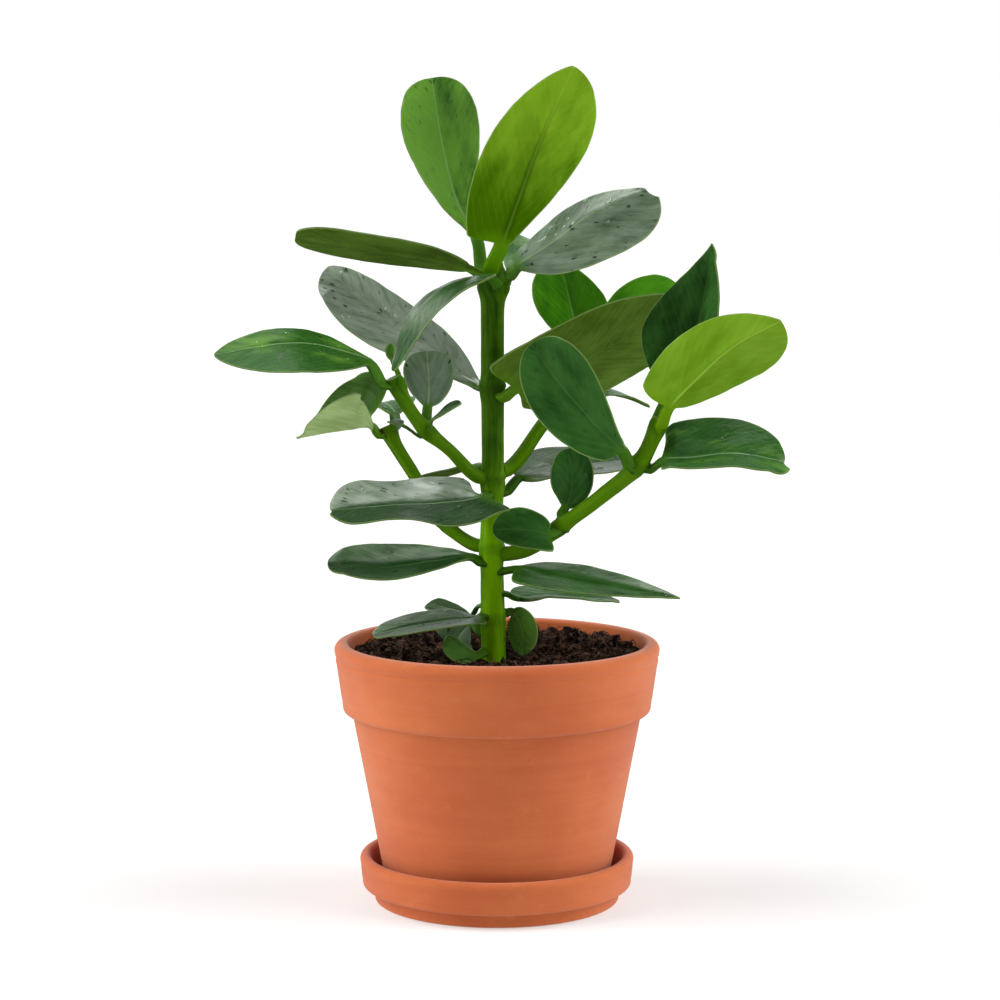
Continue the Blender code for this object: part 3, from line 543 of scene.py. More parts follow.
class Stem:
    def __init__(self, name):
        self.name = name
        self.look = stems[name]["look"]
        self.radii, self.nodes = stems[name]["radii"], stems[name]["nodes"]
        self.branch = "stem" in stems[name]
        points = [Vector(p) for p in stems[name]["points"]]
        if self.branch:
            root, self.outward = grownStems[stems[name]["stem"]].seat(
                stems[name]["at"], points[0], self.radii[0] + seamGap
            )
            points = [root, *points]
            start = (self.outward + (points[1] - root).normalized()).normalized()
        else:
            start = (points[1] - points[0]).normalized()
            self.outward = start
        self.axis = smoothPath(points, start, stemBuild["pathSteps"])
        self.length = pathLength(self.axis)
        share = [0.0]
        for a, b in zip(points, points[1:]):
            share.append(share[-1] + (b - a).length)
        self.marks = [s / share[-1] for s in share]

    def point(self, distance):
        return readAt(self.axis, distance / self.length)

    def heading(self, distance):
        return (self.point(distance + 1) - self.point(distance - 1)).normalized()

    def radius(self, distance):
        share = min(max(distance / self.length, 0.0), 1.0)
        k = next(i for i in range(1, len(self.marks)) if self.marks[i] >= share - 1e-9)
        inside = (share - self.marks[k - 1]) / (self.marks[k] - self.marks[k - 1])
        plain = self.radii[k - 1] * (1 - inside) + self.radii[k] * inside
        return plain + sum(
            size * swell(distance - node, stemBuild["nodeLength"]) for node, size in self.nodes
        )

    def seat(self, distance, towards, half):
        # the point just off the skin that faces a target, and the way out of the stem
        centre = self.point(distance)
        along = self.heading(distance)
        outward = towards - centre
        outward = (outward - along * outward.dot(along)).normalized()
        skin = max(self.radius(distance + step) for step in (-half, 0, half))
        return centre + outward * (skin + seamGap), outward

    def grow(self):
        build = stemBuild
        rings = max(12, round(self.length / build["ringGap"]))
        seed = sum(map(ord, self.name)) * 0.37

        def corner(ring, step):
            distance = self.length * ring / (rings - 1)
            heading = self.outward if ring == 0 else self.heading(distance)
            side = heading.cross(Vector((0, 1, 0))).normalized()
            other = heading.cross(side).normalized()
            turn = fullTurn * step / build["sides"]
            spoke = side * math.cos(turn) + other * math.sin(turn)
            radius = self.radius(distance)
            for node, size in self.nodes:
                radius += build["collar"] * (
                    swell(distance - node - build["collarAt"], build["collarWidth"])
                    - build["scarDepth"] * swell(distance - node, build["scarWidth"])
                ) * min(1.0, size)
            place = spoke * 1.4 + Vector((0, 0, distance * 0.09 + seed))
            radius += build["uneven"] * noise.noise(place)
            if distance > self.length - build["endLength"]:
                radius *= build["endShare"]
            near = max(swell(distance - node, build["scarReach"]) for node, size in self.nodes)
            point = self.point(distance) + spoke * radius
            if self.branch and ring == 0:
                point -= self.outward * build["sunk"]
            return point, Vector((distance + seed * 40, turn * radius, near))

        bm = bmesh.new()
        rollGrid(bm, rings, build["sides"], corner, ["stemPlace"])
        grownPiece(self.name + "_grown", bm, [stemFinishes[self.look]], self.name)


grownStems = {}
for name in stems:
    grownStems[name] = Stem(name)
    grownStems[name].grow()
print("stems grown:", len(grownStems))

# each leaf: where it sits on its stem and which way it leaves it, its midrib from the foot of
# the blade to the tip, and the way its upper face looks; two values are for the left and the
# right half; the outline is blunt where base or tip is small and drawn out where it is large
leaves = {
    "leaf_crown_front": dict(
        at=201, leave=(-0.3, -1, 0),
        rib=[(2, -14, 302), (9, -17, 321), (19, -20, 348), (34, -24, 381)], width=(46, 45),
        face=(-0.1, 1, 0.2), fold=(10, 4), cup=6, lobe=(7, 12), base=(1.15, 0.42), tip=(0.62, 0.75),
        petiole=3.1, look="crown",
    ),
    "leaf_crown_back": dict(
        at=201, rib=[(-9, 10, 304), (-18, 15, 321), (-25, 22, 347), (-30, 20, 378)], width=37,
        face=(0.1, -1, 0.3), cup=8, base=1.15, tip=0.42, look="fresh", drops=7, tone=(0.6, 0.15),
        shine=0.3,
    ),
    "leaf_crown_left": dict(
        at=201, rib=[(-13, -3, 291.5), (-31, -4, 296), (-60, -6, 300.5), (-91, -8, 306)],
        width=(38, 40), face=(0.1, 0.34, 0.95), fold=2, base=0.45, tip=0.3, look="olive", drops=6,
        bloomAndSheen=(0.0, 0.25),
    ),
    "leaf_crown_right": dict(
        at=201, rib=[(9, -3, 292), (26, -8, 304), (44, -11, 317), (67, -12, 327)], width=(26, 50),
        face=(-0.25, -0.9, 0.5), fold=(-20, 0), fore=(0, 4), base=(0.5, 0.7), tip=(0.8, 0.32),
        look="slate", drops=12, tone=(0.3, 0.0), bloomAndSheen=(0.42, 0.3), shine=0.9,
    ),
    "leaf_crown_arching": dict(
        at=196, leave=(0.25, -1, 0),
        rib=[(-4, -15, 288), (-19, -26, 285), (-32, -34, 275), (-40, -38, 262), (-46, -39, 247)],
        width=25, face=(-0.5, -0.35, 0.8), fold=(-4, -8), base=0.3, tip=0.6, slot="green_leaf",
        look="deep", tone=-0.3, shine=1.6, paintedGlint=0.42,
    ),
    "leaf_crown_rear": dict(
        at=196, rib=[(6, 13, 289), (15, 30, 296), (26, 50, 299), (33, 70, 297)], width=38,
        face=(0, -0.2, 1), fold=10, cup=6, look="fresh", drops=5, tone=-0.2, shine=0.3,
    ),
    "leaf_upper_left": dict(
        at=150, rib=[(-9, 5, 238), (-28, 12, 253), (-53, 16, 270), (-79, 18, 291)], width=(47, 25),
        face=(0.2, -0.75, 0.7), fold=6, cup=6, base=(1.0, 0.6), look="slate", drops=14,
        tone=(0.1, 0.3), bloomAndSheen=(0.68, 0.86), shine=1.5,
    ),
    "leaf_upper_right": dict(
        at=145, rib=[(8, -10, 237), (29, -5, 245), (60, 3, 261), (94, 8, 277)], width=48,
        face=(-0.2, 0.72, 0.65), fold=(-10, 6), cup=4, lobe=(8, 26), base=(0.5, 0.38),
        tip=(0.5, 0.72), look="olive",
    ),
    "leaf_middle_left": dict(
        at=100, leave=(-0.5, -1, 0),
        rib=[(-6, -15, 188), (-20, -23, 187), (-46, -36, 187), (-73, -48, 186)], width=43,
        face=(0, -0.42, 0.9), fold=6, wave=(-2.2, 2.0), waves=1.5, lobe=(15, 6), fore=(2, 0),
        base=(0.28, 0.5), tip=(0.4, 0.5), look="slate", drops=14, tone=(-0.6, 0.1),
        bloomAndSheen=(0.0, 0.62), shine=(0.0, 1.3), shadeAt=0.12,
    ),
    "leaf_middle_right": dict(
        at=101, rib=[(10, 6, 195), (23, 13, 199), (44, 24, 200), (66, 32, 201)], width=40,
        face=(0, -0.26, 0.97), fold=6, base=0.42, look="slate", drops=7, tone=-0.1, bloomAndSheen=0.12,
        shine=0.7,
    ),
    "leaf_middle_rear": dict(
        at=108, rib=[(-8, 9, 200), (-17, 20, 197), (-28, 34, 192), (-38, 48, 186)], width=30,
        face=(-0.1, 0, 1), look="fresh", drops=4, tone=-0.4, shine=0.3,
    ),
    "leaf_lower_left": dict(
        at=69, leave=(-0.8, -0.6, 0),
        rib=[(-11, -8, 160), (-28, -10, 158.5), (-51, -12, 156), (-77, -15, 158)], width=(36, 32),
        face=(0, -0.38, 0.92), fold=6, cup=6, look="deep", drops=9, tone=(-0.4, 0.1),
        bloomAndSheen=(0.0, 0.26), shine=(0.1, 0.8), shadeAt=0.25,
    ),
    "leaf_lower_right": dict(
        at=65, rib=[(9, -11, 155), (22, -15, 153), (49, -24, 149), (82, -34, 145)], width=(26, 38),
        face=(0, -0.3, 0.95), base=(0.6, 0.3), tip=(0.95, 1.1), look="deep", drops=9,
        tone=(0.3, 0.05), bloomAndSheen=(0.42, 0.0), shine=(1.1, 0.1), shadeAt=-0.4,
    ),
    "leaf_base_right": dict(
        at=55, leave=(1, -0.1, 0),
        rib=[(9, -3.5, 140.5), (18, 5, 140.5), (34, 15, 138.5), (57, 23, 135.5)], width=30,
        face=(0, -0.1, 1), base=0.45, look="deep", drops=5, tone=0.2, shine=0.1,
    ),
    "leaf_base_left": dict(
        at=45, rib=[(-8, -14, 133), (-18, -18, 133), (-36, -23, 131), (-56, -27, 127)],
        width=(34, 26), face=(0, -0.15, 1), lobe=(3, 0), base=(0.4, 0.6), look="slate", drops=9,
        tone=(-0.5, 0.0), bloomAndSheen=(0.0, 0.24), shine=(0.1, 0.8), shadeAt=0.2,
    ),
    "leaf_foot_left": dict(
        at=50, leave=(-1, 0.2, 0),
        rib=[(-12, 0, 132), (-17, 4, 133), (-24, 9, 134), (-32, 14, 135.5)], width=11,
        face=(0, -0.4, 0.9), tip=0.25, look="slate", drops=2, tone=-0.1, shine=0.4,
    ),
    "leaf_foot_hanging": dict(
        at=38, leave=(-1, 0.3, 0),
        rib=[(-11, -4, 129), (-15, -1, 125.5), (-18, 1, 120.5), (-20, 2, 116.5)], width=(24, 25),
        face=(-0.5, -0.8, 0.3), base=1.0, tip=0.3, look="slate", tone=0.2, bloomAndSheen=0.05, shine=0.6,
    ),
    "leaf_foot_front": dict(
        at=29, leave=(-0.7, -0.7, 0),
        rib=[(-9, -16, 116), (-13, -17.5, 118), (-18, -19, 121.5), (-23, -20, 125.5)],
        width=(18, 5), face=(0.2, -0.8, 0.6), base=0.6, tip=0.35, look="young",
    ),
    "leaf_foot_right": dict(
        at=46, leave=(1, 0.3, 0),
        rib=[(7, -5, 134.5), (10.5, -7, 130), (12, -9.5, 122), (11.5, -12, 115.5)], width=(15, 13),
        face=(-0.3, -0.95, 0.15), base=0.45, slot="dark_leaf", look="fresh", tone=0.5, shine=0.8,
    ),
    "leaf_foot_rear": dict(
        at=33, rib=[(-2, 1, 122), (-3, 5, 126), (-3, 9, 130), (-2, 14, 133)], width=11,
        face=(0, -0.7, 0.7), slot="green_leaf", look="young",
    ),
    "leaf_left_outer": dict(
        stem="branch_left_upper", at=62, leave=(-0.8, -0.3, 0.8),
        rib=[(-57, -23, 249.5), (-67, -26, 254.5), (-88, -31, 259), (-125, -38, 254)],
        width=(50, 22), face=(0, -0.5, 0.87), fold=(2, 6), base=(0.8, 1.0), tip=(0.75, 0.7),
        slot="dark_leaf", look="fresh", drops=10, tone=(-0.5, -0.25), shine=0.1,
    ),
    "leaf_left_inner": dict(
        stem="branch_left_upper", at=36, leave=(0.3, 1, 0),
        rib=[(-31.5, -9, 229), (-31, -7, 233), (-31, -5, 242), (-32, -3, 254)], width=23,
        face=(0.1, -1, 0.3), fold=6, base=0.6, tip=0.35, look="slate", drops=4, tone=0.1,
        bloomAndSheen=0.27, shine=0.9,
    ),
    "leaf_left_small_right": dict(
        stem="branch_left_upper", at=36, leave=(0.5, -1, 0.2),
        rib=[(-29, -21, 224), (-26, -22, 226), (-22, -23, 229), (-16, -24, 232)], width=8,
        face=(-0.5, -0.3, 0.8), look="slate", tone=-0.2, shine=0.5,
    ),
    "leaf_left_small_left": dict(
        stem="branch_left_upper", at=33, leave=(-1, 0.3, 0),
        rib=[(-42, -12, 220.5), (-44, -11, 221), (-46, -9, 222), (-49, -7, 222)], width=8,
        face=(0, -0.1, 1), look="slate", tone=-0.3, shine=0.2,
    ),
    "leaf_left_bud": dict(
        stem="branch_left_upper", at=61, leave=(0.3, 1, 0.3),
        rib=[(-47, -13, 250), (-48, -13, 252), (-48, -13, 255), (-48, -13, 258)], width=5,
        face=(0, -0.7, 0.7), fold=25, look="young",
    ),
    "leaf_left_lower_outer": dict(
        stem="branch_left_lower", at=70, leave=(-1, -0.2, 0.2),
        rib=[(-58, 14.5, 218.5), (-67, 12, 218), (-79, 7, 216.5), (-92, 2, 214)], width=(58, 50),
        face=(0, -0.34, 0.94), fold=(56, 45), lobe=(0, 22), base=(0.65, 0.35), tip=(1.0, 1.7),
        look="pale",
    ),
    "leaf_left_lower_rear": dict(
        stem="branch_left_lower", at=71, leave=(0.6, 1, 0),
        rib=[(-48, 33, 222), (-50, 42, 225), (-54, 55, 226), (-59, 68, 224)], width=30,
        face=(0, 0, 1), fold=10, look="fresh", drops=3, tone=-0.4, shine=0.1,
    ),
    "leaf_right_front": dict(
        stem="branch_right", at=75, leave=(-0.5, -1, 0.2),
        rib=[(56, -35, 211), (45, -37, 222), (29, -38, 240), (15, -38, 259)], width=35,
        face=(-0.3, -0.9, 0.2), fold=10, cup=8, lobe=3, base=(0.55, 1.1), tip=(0.5, 0.45),
        look="deep", drops=12, tone=0.15, shine=0.5,
    ),
    "leaf_right_outer": dict(
        stem="branch_right", at=78, leave=(1, 0, -0.3),
        rib=[(74, -28, 206), (88, -31, 208), (107, -36, 210), (127, -42, 207)], width=(46, 36),
        face=(0, -0.5, 0.87), fold=(14, 16), lobe=5, fore=(0, 4), base=(0.22, 0.45), tip=(0.5, 0.3),
        slot="dark_leaf", look="fresh", drops=12, tone=-0.35, bloomAndSheen=(0.04, 0.0), shine=0.2,
    ),
    "leaf_right_top_front": dict(
        stem="branch_right", at=97, leave=(0.2, -1, 0),
        rib=[(76, -38, 231), (85, -40.5, 241), (103, -45, 258), (124, -50, 270)], width=(40, 38),
        face=(-0.3, 0.9, 0.2), fold=(0, 30), cup=6, lobe=(2, 9), base=(0.8, 0.4), tip=(0.42, 0.85),
        look="lime",
    ),
    "leaf_right_top_rear": dict(
        stem="branch_right", at=97, leave=(0, 1, 0),
        rib=[(78, -17, 236), (87, -14, 255), (93, -14, 278), (96, -18, 303)], width=(48, 31),
        face=(-0.25, -0.95, 0.2), fold=(4, 45), base=(0.7, 0.6), tip=(1.3, 0.9), look="deep",
        drops=3, tone=-0.08, shine=0.1,
    ),
    "leaf_right_small_rear": dict(
        stem="branch_right", at=33, leave=(-0.3, 0.6, 0.8),
        rib=[(31, -9, 183), (33, -9, 188), (34, -9, 199), (32, -8, 210)], width=20,
        face=(0, -1, 0.3), fold=10, base=0.6, look="deep", drops=2,
    ),
    "leaf_right_small_front": dict(
        stem="branch_right", at=29, leave=(-0.2, -1, -0.2),
        rib=[(24, -20, 172), (17, -19, 173.5), (9, -17, 174), (-2, -15, 173.5)], width=(18, 20),
        face=(0, -0.9, 0.4), lobe=(8, 2), base=(0.3, 0.6), look="deep", drops=3, tone=0.15,
        shine=0.5,
    ),
    "leaf_back_tall": dict(
        stem="branch_back", at=46, leave=(-1, 0, 0.5),
        rib=[(38, 29, 251), (37, 31, 262), (33.5, 32, 277), (29.5, 30, 295)], width=34,
        face=(0.1, -1, 0.2), base=(0.85, 0.6), tip=(0.4, 0.95), look="bright",
    ),
    "leaf_back_right": dict(
        stem="branch_back", at=44, leave=(1, -0.2, 0),
        rib=[(48, 31, 247), (59, 38, 260), (72, 44, 271), (91, 50, 277)], width=36,
        face=(-0.2, -0.8, 0.6), look="bright",
    ),
    "leaf_back_edge": dict(
        stem="branch_back", at=33, leave=(1, -0.8, 0),
        rib=[(42, 17, 230), (49, 22, 233), (59, 29, 231), (71, 34, 226)], width=20,
        face=(0.3, 0, 1), fold=6, slot="dark_leaf", look="olive",
    ),
    "leaf_back_rear": dict(
        stem="branch_back", at=40, leave=(0, 1, 0),
        rib=[(38, 37, 242), (43, 48, 248), (50, 62, 251), (58, 80, 249)], width=34,
        face=(0, -0.1, 1), fold=10, look="fresh", drops=4,
    ),
}
plainLeaf = dict(
    stem="main_stem", leave=None, drops=0, petiole=2.7, base=0.85, tip=0.5,
    # form: how the halves fold up and cup, ripple at their margin, and lap back or forward
    fold=8, cup=0.0, wave=0.0, waves=2.0, lobe=0.0, fore=0.0,
    # finish: lighter or darker, where the halves differ a painted shade on one half, silvery bloom
    # with painted sheen, coat, where the halves meet, a painted highlight band
    tone=0.0, bloomAndSheen=0.0, shine=1.0, shadeAt=0.0, paintedGlint=0.0,
)
leafBuild = dict(
    thickness=1.0, edge=0.7, ribDepth=0.7, petioleThickness=3.4, fullWidth=44.0,
    pathSteps=80, rings=54, fewestRings=20, petioleRings=6, fullLength=45, footReach=1.05,
    sunk=1.2,
    grooveDepth=0.28, grooveWidth=0.09, buckle=0.35, nick=0.25, edgeRound=0.6,
    # how soon the folds open from the foot, the tip and the midrib, and the petiole fades out
    footEase=8, tipEase=10, ribEase=0.12, lobeEase=12, petioleFade=5, petioleEdge=0.5, flare=0.25,
    acrossStops=(
        0, 0.025, 0.06, 0.11, 0.18, 0.28, 0.40, 0.52, 0.64, 0.75, 0.84, 0.91, 0.96, 0.99, 1.0,
    ),
    marginLevels=(0.6, 0.0, -0.6), rippleLag=0.8, nickScale=3, buckleScale=1.6, fullEnd=0.998,
    dropSize=(0.45, 1.05), dropStretch=(1.0, 1.9), dropHeight=0.55, dropSides=8, dropRings=6,
    dropAlong=(0.12, 0.93), dropAcross=0.95,
    # where the painted highlight band lies along the leaf and how wide it is, and how softly the
    # halves' values meet
    paintedGlintAt=0.6, paintedGlintWidth=0.2, shadeSoftness=0.16,
)


class Leaf:
    def __init__(self, name):
        self.name = name
        self.data = {**plainLeaf, **leaves[name]}
        # the record's slot follows from the look, unless the leaf says another
        self.slot = self.data.get("slot", leafLooks[self.data["look"]]["slot"])
        rib = [Vector(p) for p in self.data["rib"]]
        stem = grownStems[self.data["stem"]]
        wide = max(self.halfValue("width", -1), self.halfValue("width", 1))
        self.size = math.sqrt(min(1.0, wide / leafBuild["fullWidth"]))
        towards = rib[0]
        if self.data["leave"]:
            towards = stem.point(self.data["at"]) + Vector(self.data["leave"])
        half = leafBuild["petioleThickness"] * self.size / 2
        root, self.outward = stem.seat(self.data["at"], towards, half)
        start = (self.outward + (rib[0] - root).normalized()).normalized()
        self.path = smoothPath([root, *rib], start, leafBuild["pathSteps"])
        self.length = pathLength(self.path)
        self.foot = (rib[0] - root).length * leafBuild["footReach"] / self.length
        self.seed = sum(map(ord, name)) % 97 + 1

    def bladeShare(self, along):
        return max(0.0, (along - self.foot) / (1 - self.foot))

    def halfValue(self, key, across):
        value = self.data[key]
        return value[across >= 0] if isinstance(value, tuple) else value

    def shade(self, key, across):
        # colour values of the two halves, which carry painted shade and painted sheen, meet softly,
        # along the midrib or beside it
        part = 0.5 + (across - self.data["shadeAt"]) / leafBuild["shadeSoftness"]
        part = min(max(part, 0.0), 1.0)
        return self.halfValue(key, -1) * (1 - part) + self.halfValue(key, 1) * part

    def halfWidth(self, along, across):
        share = self.bladeShare(along)
        low, high = self.halfValue("base", across), self.halfValue("tip", across)
        peak = low / (low + high)
        full = peak ** low * (1 - peak) ** high
        blade = self.halfValue("width", across) / 2 * share ** low * (1 - share) ** high / full
        flare = 1 + leafBuild["flare"] * max(0.0, 1 - along / self.foot) ** 2
        petiole = self.data["petiole"] * self.size * flare * (1 - share) ** 2
        return (blade ** 3 + petiole ** 3) ** (1 / 3)

    def thickness(self, along, across):
        build = leafBuild
        fade = max(0.0, 1 - self.bladeShare(along) * build["petioleFade"]) ** 2
        middle = build["thickness"]
        middle += (build["petioleThickness"] * self.size - middle) * fade
        edge = build["edge"] + build["petioleEdge"] * self.size * fade
        return edge + (middle - edge) * math.sqrt(max(0.0, 1 - across * across))

    def frame(self, along):
        heading = (readAt(self.path, along + 0.01) - readAt(self.path, along - 0.01)).normalized()
        if along == 0:
            heading = self.outward
        face = Vector(self.data["face"])
        face = (face - heading * face.dot(heading)).normalized()
        return heading, face, heading.cross(face)

    def point(self, along, across, level):
        # level is 1 on the upper face, -1 on the under face and between them on the margin
        data, build = self.data, leafBuild
        share = self.bladeShare(along)
        heading, face, right = self.frame(along)
        side = 1 if across >= 0 else -1
        opening = min(1.0, share * build["footEase"], (1 - share) * build["tipEase"])
        bend = math.radians(self.halfValue("fold", across) + data["cup"] * abs(across))
        bend *= opening * min(1.0, abs(across) / build["ribEase"])
        reach = abs(across) * self.halfWidth(along, across)
        ripple = self.halfValue("wave", across) * across * across * opening * math.sin(
            fullTurn * data["waves"] * share + (side - 1) * build["rippleLag"]
        )
        out = right * side * math.cos(bend) + face * math.sin(bend)
        skin = face * math.cos(bend) - right * side * math.sin(bend)
        lap = self.halfValue("lobe", across) * min(1.0, share * build["lobeEase"])
        drawn = self.halfValue("fore", across) * share ** 6 - lap * (1 - share) ** 4
        # the blade buckles a little between its side veins, and its margin is not quite even
        place = Vector((share * self.length * 0.05, across * 1.3, self.seed))
        ripple += build["buckle"] * noise.noise(place * build["buckleScale"]) * opening
        nick = noise.noise(place * build["nickScale"] + Vector((9, 0, 0))) * abs(across) ** 6
        reach += build["nick"] * nick * opening
        centre = readAt(self.path, along) + out * reach + skin * ripple
        centre += heading * (drawn * across * across)
        half = self.thickness(along, across) / 2
        if abs(level) < 1:
            centre += out * (half * build["edgeRound"] * math.sqrt(1 - level * level))
        groove = swell(across, build["grooveWidth"]) * opening
        if level > 0:
            half -= build["grooveDepth"] * groove * (1 - share * 0.5)
        else:
            half += build["ribDepth"] * self.size * groove * (1 - share)
        return centre + skin * (half * level)

    def kept(self, along, across, level):
        # what the finish reads at a point: its place, its reach in millimetres and its shade, which
        # holds painted shade, silvery bloom with painted sheen and a painted highlight band, and
        # coat
        width = self.halfWidth(along, across)
        share = (along - self.foot) / (1 - self.foot)
        edge = min(width * (1 - abs(across)), (1 - along) * self.length * 1.5 + 0.1)
        # a painted highlight band part way along the leaf
        paintedGlint = self.data["paintedGlint"] * swell(share - leafBuild["paintedGlintAt"], leafBuild["paintedGlintWidth"])
        return (
            Vector((share, across, level)),
            Vector((along * self.length + self.seed * 131, across * width, edge)),
            Vector((
                self.shade("tone", across), self.shade("bloomAndSheen", across) + paintedGlint,
                self.shade("shine", across),
            )),
        )

    def grow(self):
        stops, levels = leafBuild["acrossStops"], leafBuild["marginLevels"]
        faceStops = [-s for s in reversed(stops)] + list(stops[1:])
        # once round the leaf: upper face, left margin, under face, right margin
        stations = [(s, 1.0) for s in reversed(faceStops)] + [(-1.0, level) for level in levels]
        stations += [(s, -1.0) for s in faceStops] + [(1.0, level) for level in reversed(levels)]
        rings = round(leafBuild["rings"] * min(1.0, self.length / leafBuild["fullLength"]))
        rings = max(leafBuild["fewestRings"], rings)
        petioleRings = leafBuild["petioleRings"]
        alongs = [self.foot * k / petioleRings for k in range(petioleRings)]
        for k in range(rings):
            share = (1 - math.cos(math.pi * k / (rings - 1))) / 2
            alongs.append(self.foot + (1 - self.foot) * min(share, leafBuild["fullEnd"]))

        def corner(ring, step):
            point = self.point(alongs[ring], *stations[step])
            if ring == 0:
                point -= self.outward * leafBuild["sunk"]
            return point, *self.kept(alongs[ring], *stations[step])

        bm = bmesh.new()
        kept = ["leafPlace", "leafReach", "leafShade"]
        rollGrid(bm, len(alongs), len(stations), corner, kept)
        self.wet(bm)
        finishes = [leafFinishes[self.data["look"]], waterFinish.material]
        grownPiece(self.name + "_grown", bm, finishes, self.name)

    def wet(self, bm):
        # drops of water that lie on the upper face, drawn out along the leaf
        build, chance = leafBuild, random.Random("drops " + self.name)
        for k in range(self.data["drops"]):
            along = self.foot + (1 - self.foot) * chance.uniform(*build["dropAlong"])
            across = chance.uniform(-build["dropAcross"], build["dropAcross"])
            seat = self.point(along, across, 1.0)
            ahead = (self.point(min(along + 0.02, 0.99), across, 1.0) - seat).normalized()
            beside = self.point(along, across * 0.93 + 0.01, 1.0) - seat
            up = ahead.cross(beside).normalized()
            if up.dot(self.frame(along)[1]) < 0:
                up = -up
            size = chance.uniform(*build["dropSize"])
            long = size * chance.uniform(*build["dropStretch"])
            axes = ahead * long, up.cross(ahead) * size, up * (size * build["dropHeight"])
            drop = bmesh.ops.create_uvsphere(
                bm, u_segments=build["dropSides"], v_segments=build["dropRings"], radius=1
            )["verts"]
            for vert in drop:
                x, y, z = vert.co
                vert.co = (seat + axes[0] * x + axes[1] * y + axes[2] * z) * mm
            for face in {face for vert in drop for face in vert.link_faces}:
                face.material_index = 1


for name in leaves:
    Leaf(name).grow()
print("leaves grown:", len(leaves))


def arcPoints(centreR, centreZ, radius, start, end, steps):
    spread = [math.radians(start + (end - start) * k / steps) for k in range(steps + 1)]
    return [(centreR + radius * math.cos(a), centreZ + radius * math.sin(a)) for a in spread]


def linePoints(a, b, steps):
    # the points between two ends, without the ends
    return [(a[0] + (b[0] - a[0]) * k / steps, a[1] + (b[1] - a[1]) * k / steps)
            for k in range(1, steps)]


def turned(profile, steps, closed):
    bm = bmesh.new()
    verts = [bm.verts.new(Vector((r, 0, z)) * mm) for r, z in profile]
    for a, b in zip(verts, verts[1:]):
        bm.edges.new((a, b))
    if closed:
        bm.edges.new((verts[-1], verts[0]))
    bmesh.ops.spin(
        bm, geom=bm.verts[:] + bm.edges[:], cent=(0, 0, 0), axis=(0, 0, 1), angle=fullTurn,
        steps=steps, use_merge=True,
    )
    bmesh.ops.remove_doubles(bm, verts=bm.verts, dist=weld)
    bmesh.ops.dissolve_degenerate(bm, edges=bm.edges, dist=weld)
    bmesh.ops.recalc_face_normals(bm, faces=bm.faces)
    return bm


def thrown(profile, rings, depth):
    # turning rings, each (height, depth, width), pressed into the outer wall of a profile
    return [
        (r - depth * sum(swell(z - at, width) * deep for at, deep, width in rings), z)
        for r, z in profile
    ]


# clay, turned from one profile each as (radius, height); wobble is how far it is out of round
clayTurning = dict(steps=180, wobble=0.12, plainRadius=20)


def clayPiece(name, profile, closed, node):
    bm = turned(profile, clayTurning["steps"], closed)
    for vert in bm.verts:
        x, y, z = vert.co / mm
        radius = math.hypot(x, y)
        if radius < clayTurning["plainRadius"]:
            continue
        drift = noise.noise(Vector((x / radius * 1.5, y / radius * 1.5, z * 0.03))) - 0.5
        scale = 1 + clayTurning["wobble"] * min(0.0, drift) / radius
        vert.co = Vector((x * scale, y * scale, z)) * mm
    grownPiece(name, bm, [clayMade], node)


saucer = dict(
    height=21.6, lipRadius=63.5, footRadius=56.7, footHeight=6.6, footRound=0.8, footFlare=0.6,
    seamWidth=0.3, seamDepth=0.2, bandRadius=62.4, bandRound=1.8, floor=7.0, floorRadius=40,
    wall=5.4, wallLean=1.0, wallFoot=4.0, cornerInset=4.5, cornerRound=3.0, ringDepth=0.22,
    rings=[(9.6, 1.0, 0.5), (16.4, 0.7, 0.6), (3.2, 0.6, 0.5)],
)


def turnSaucer(look):
    lip, floor, lipRadius = look["wall"] / 2, look["floor"], look["lipRadius"]
    foot, footRadius, footRound = look["footHeight"], look["footRadius"], look["footRound"]
    band, bandRound, corner = look["bandRadius"], look["bandRound"], look["cornerRound"]
    footTop, inside = footRadius + look["footFlare"], lipRadius - look["wall"]
    outer = arcPoints(footRadius - footRound, footRound, footRound, -90, 0, 4)
    outer += linePoints(outer[-1], (footTop, foot), 8)
    outer += [(footTop, foot - look["seamDepth"]), (footTop + look["seamWidth"], foot)]
    outer += arcPoints(band - bandRound, foot + bandRound, bandRound, -90, 0, 6)
    outer += linePoints((band, foot + bandRound), (lipRadius, look["height"] - lip), 16)
    outer = thrown(outer, look["rings"], look["ringDepth"])
    inner = arcPoints(lipRadius - lip, look["height"] - lip, lip, 0, 180, 14)
    inner += [(inside - look["wallLean"], floor + look["wallFoot"])]
    inner += arcPoints(inside - look["cornerInset"], floor + corner, corner, -20, -90, 5)
    inner += [(look["floorRadius"], floor), (0, floor)]
    clayPiece("saucer_turned", [(0, 0), *outer, *inner], False, "saucer")


pot = dict(
    top=120.4, bottom=7.3, baseRadius=51.9, baseRound=1.5, shoulderRadius=66.9, rimFoot=88.2,
    rimFootRadius=71.1, rimRound=2.2, rimRadius=75.0, lip=3.6, wall=6.4, shoulderWall=5.4,
    rimWall=7.0, floor=8.0, drain=7.0, seamWidth=0.5, seamDepth=0.4, ringDepth=0.25,
    rings=[
        (113.6, 1.9, 0.7), (111.9, -0.5, 0.6), (108.4, 0.35, 0.5), (93.6, 0.8, 0.6),
        (91.4, 0.4, 0.5), (84.0, 0.5, 0.7), (46.0, 0.3, 0.8), (14.0, 0.5, 0.8),
    ],
)
pot["innerFloor"] = pot["bottom"] + pot["floor"]
pot["innerShoulder"] = pot["shoulderRadius"] - pot["shoulderWall"]
pot["innerRim"] = pot["rimRadius"] - pot["rimWall"]


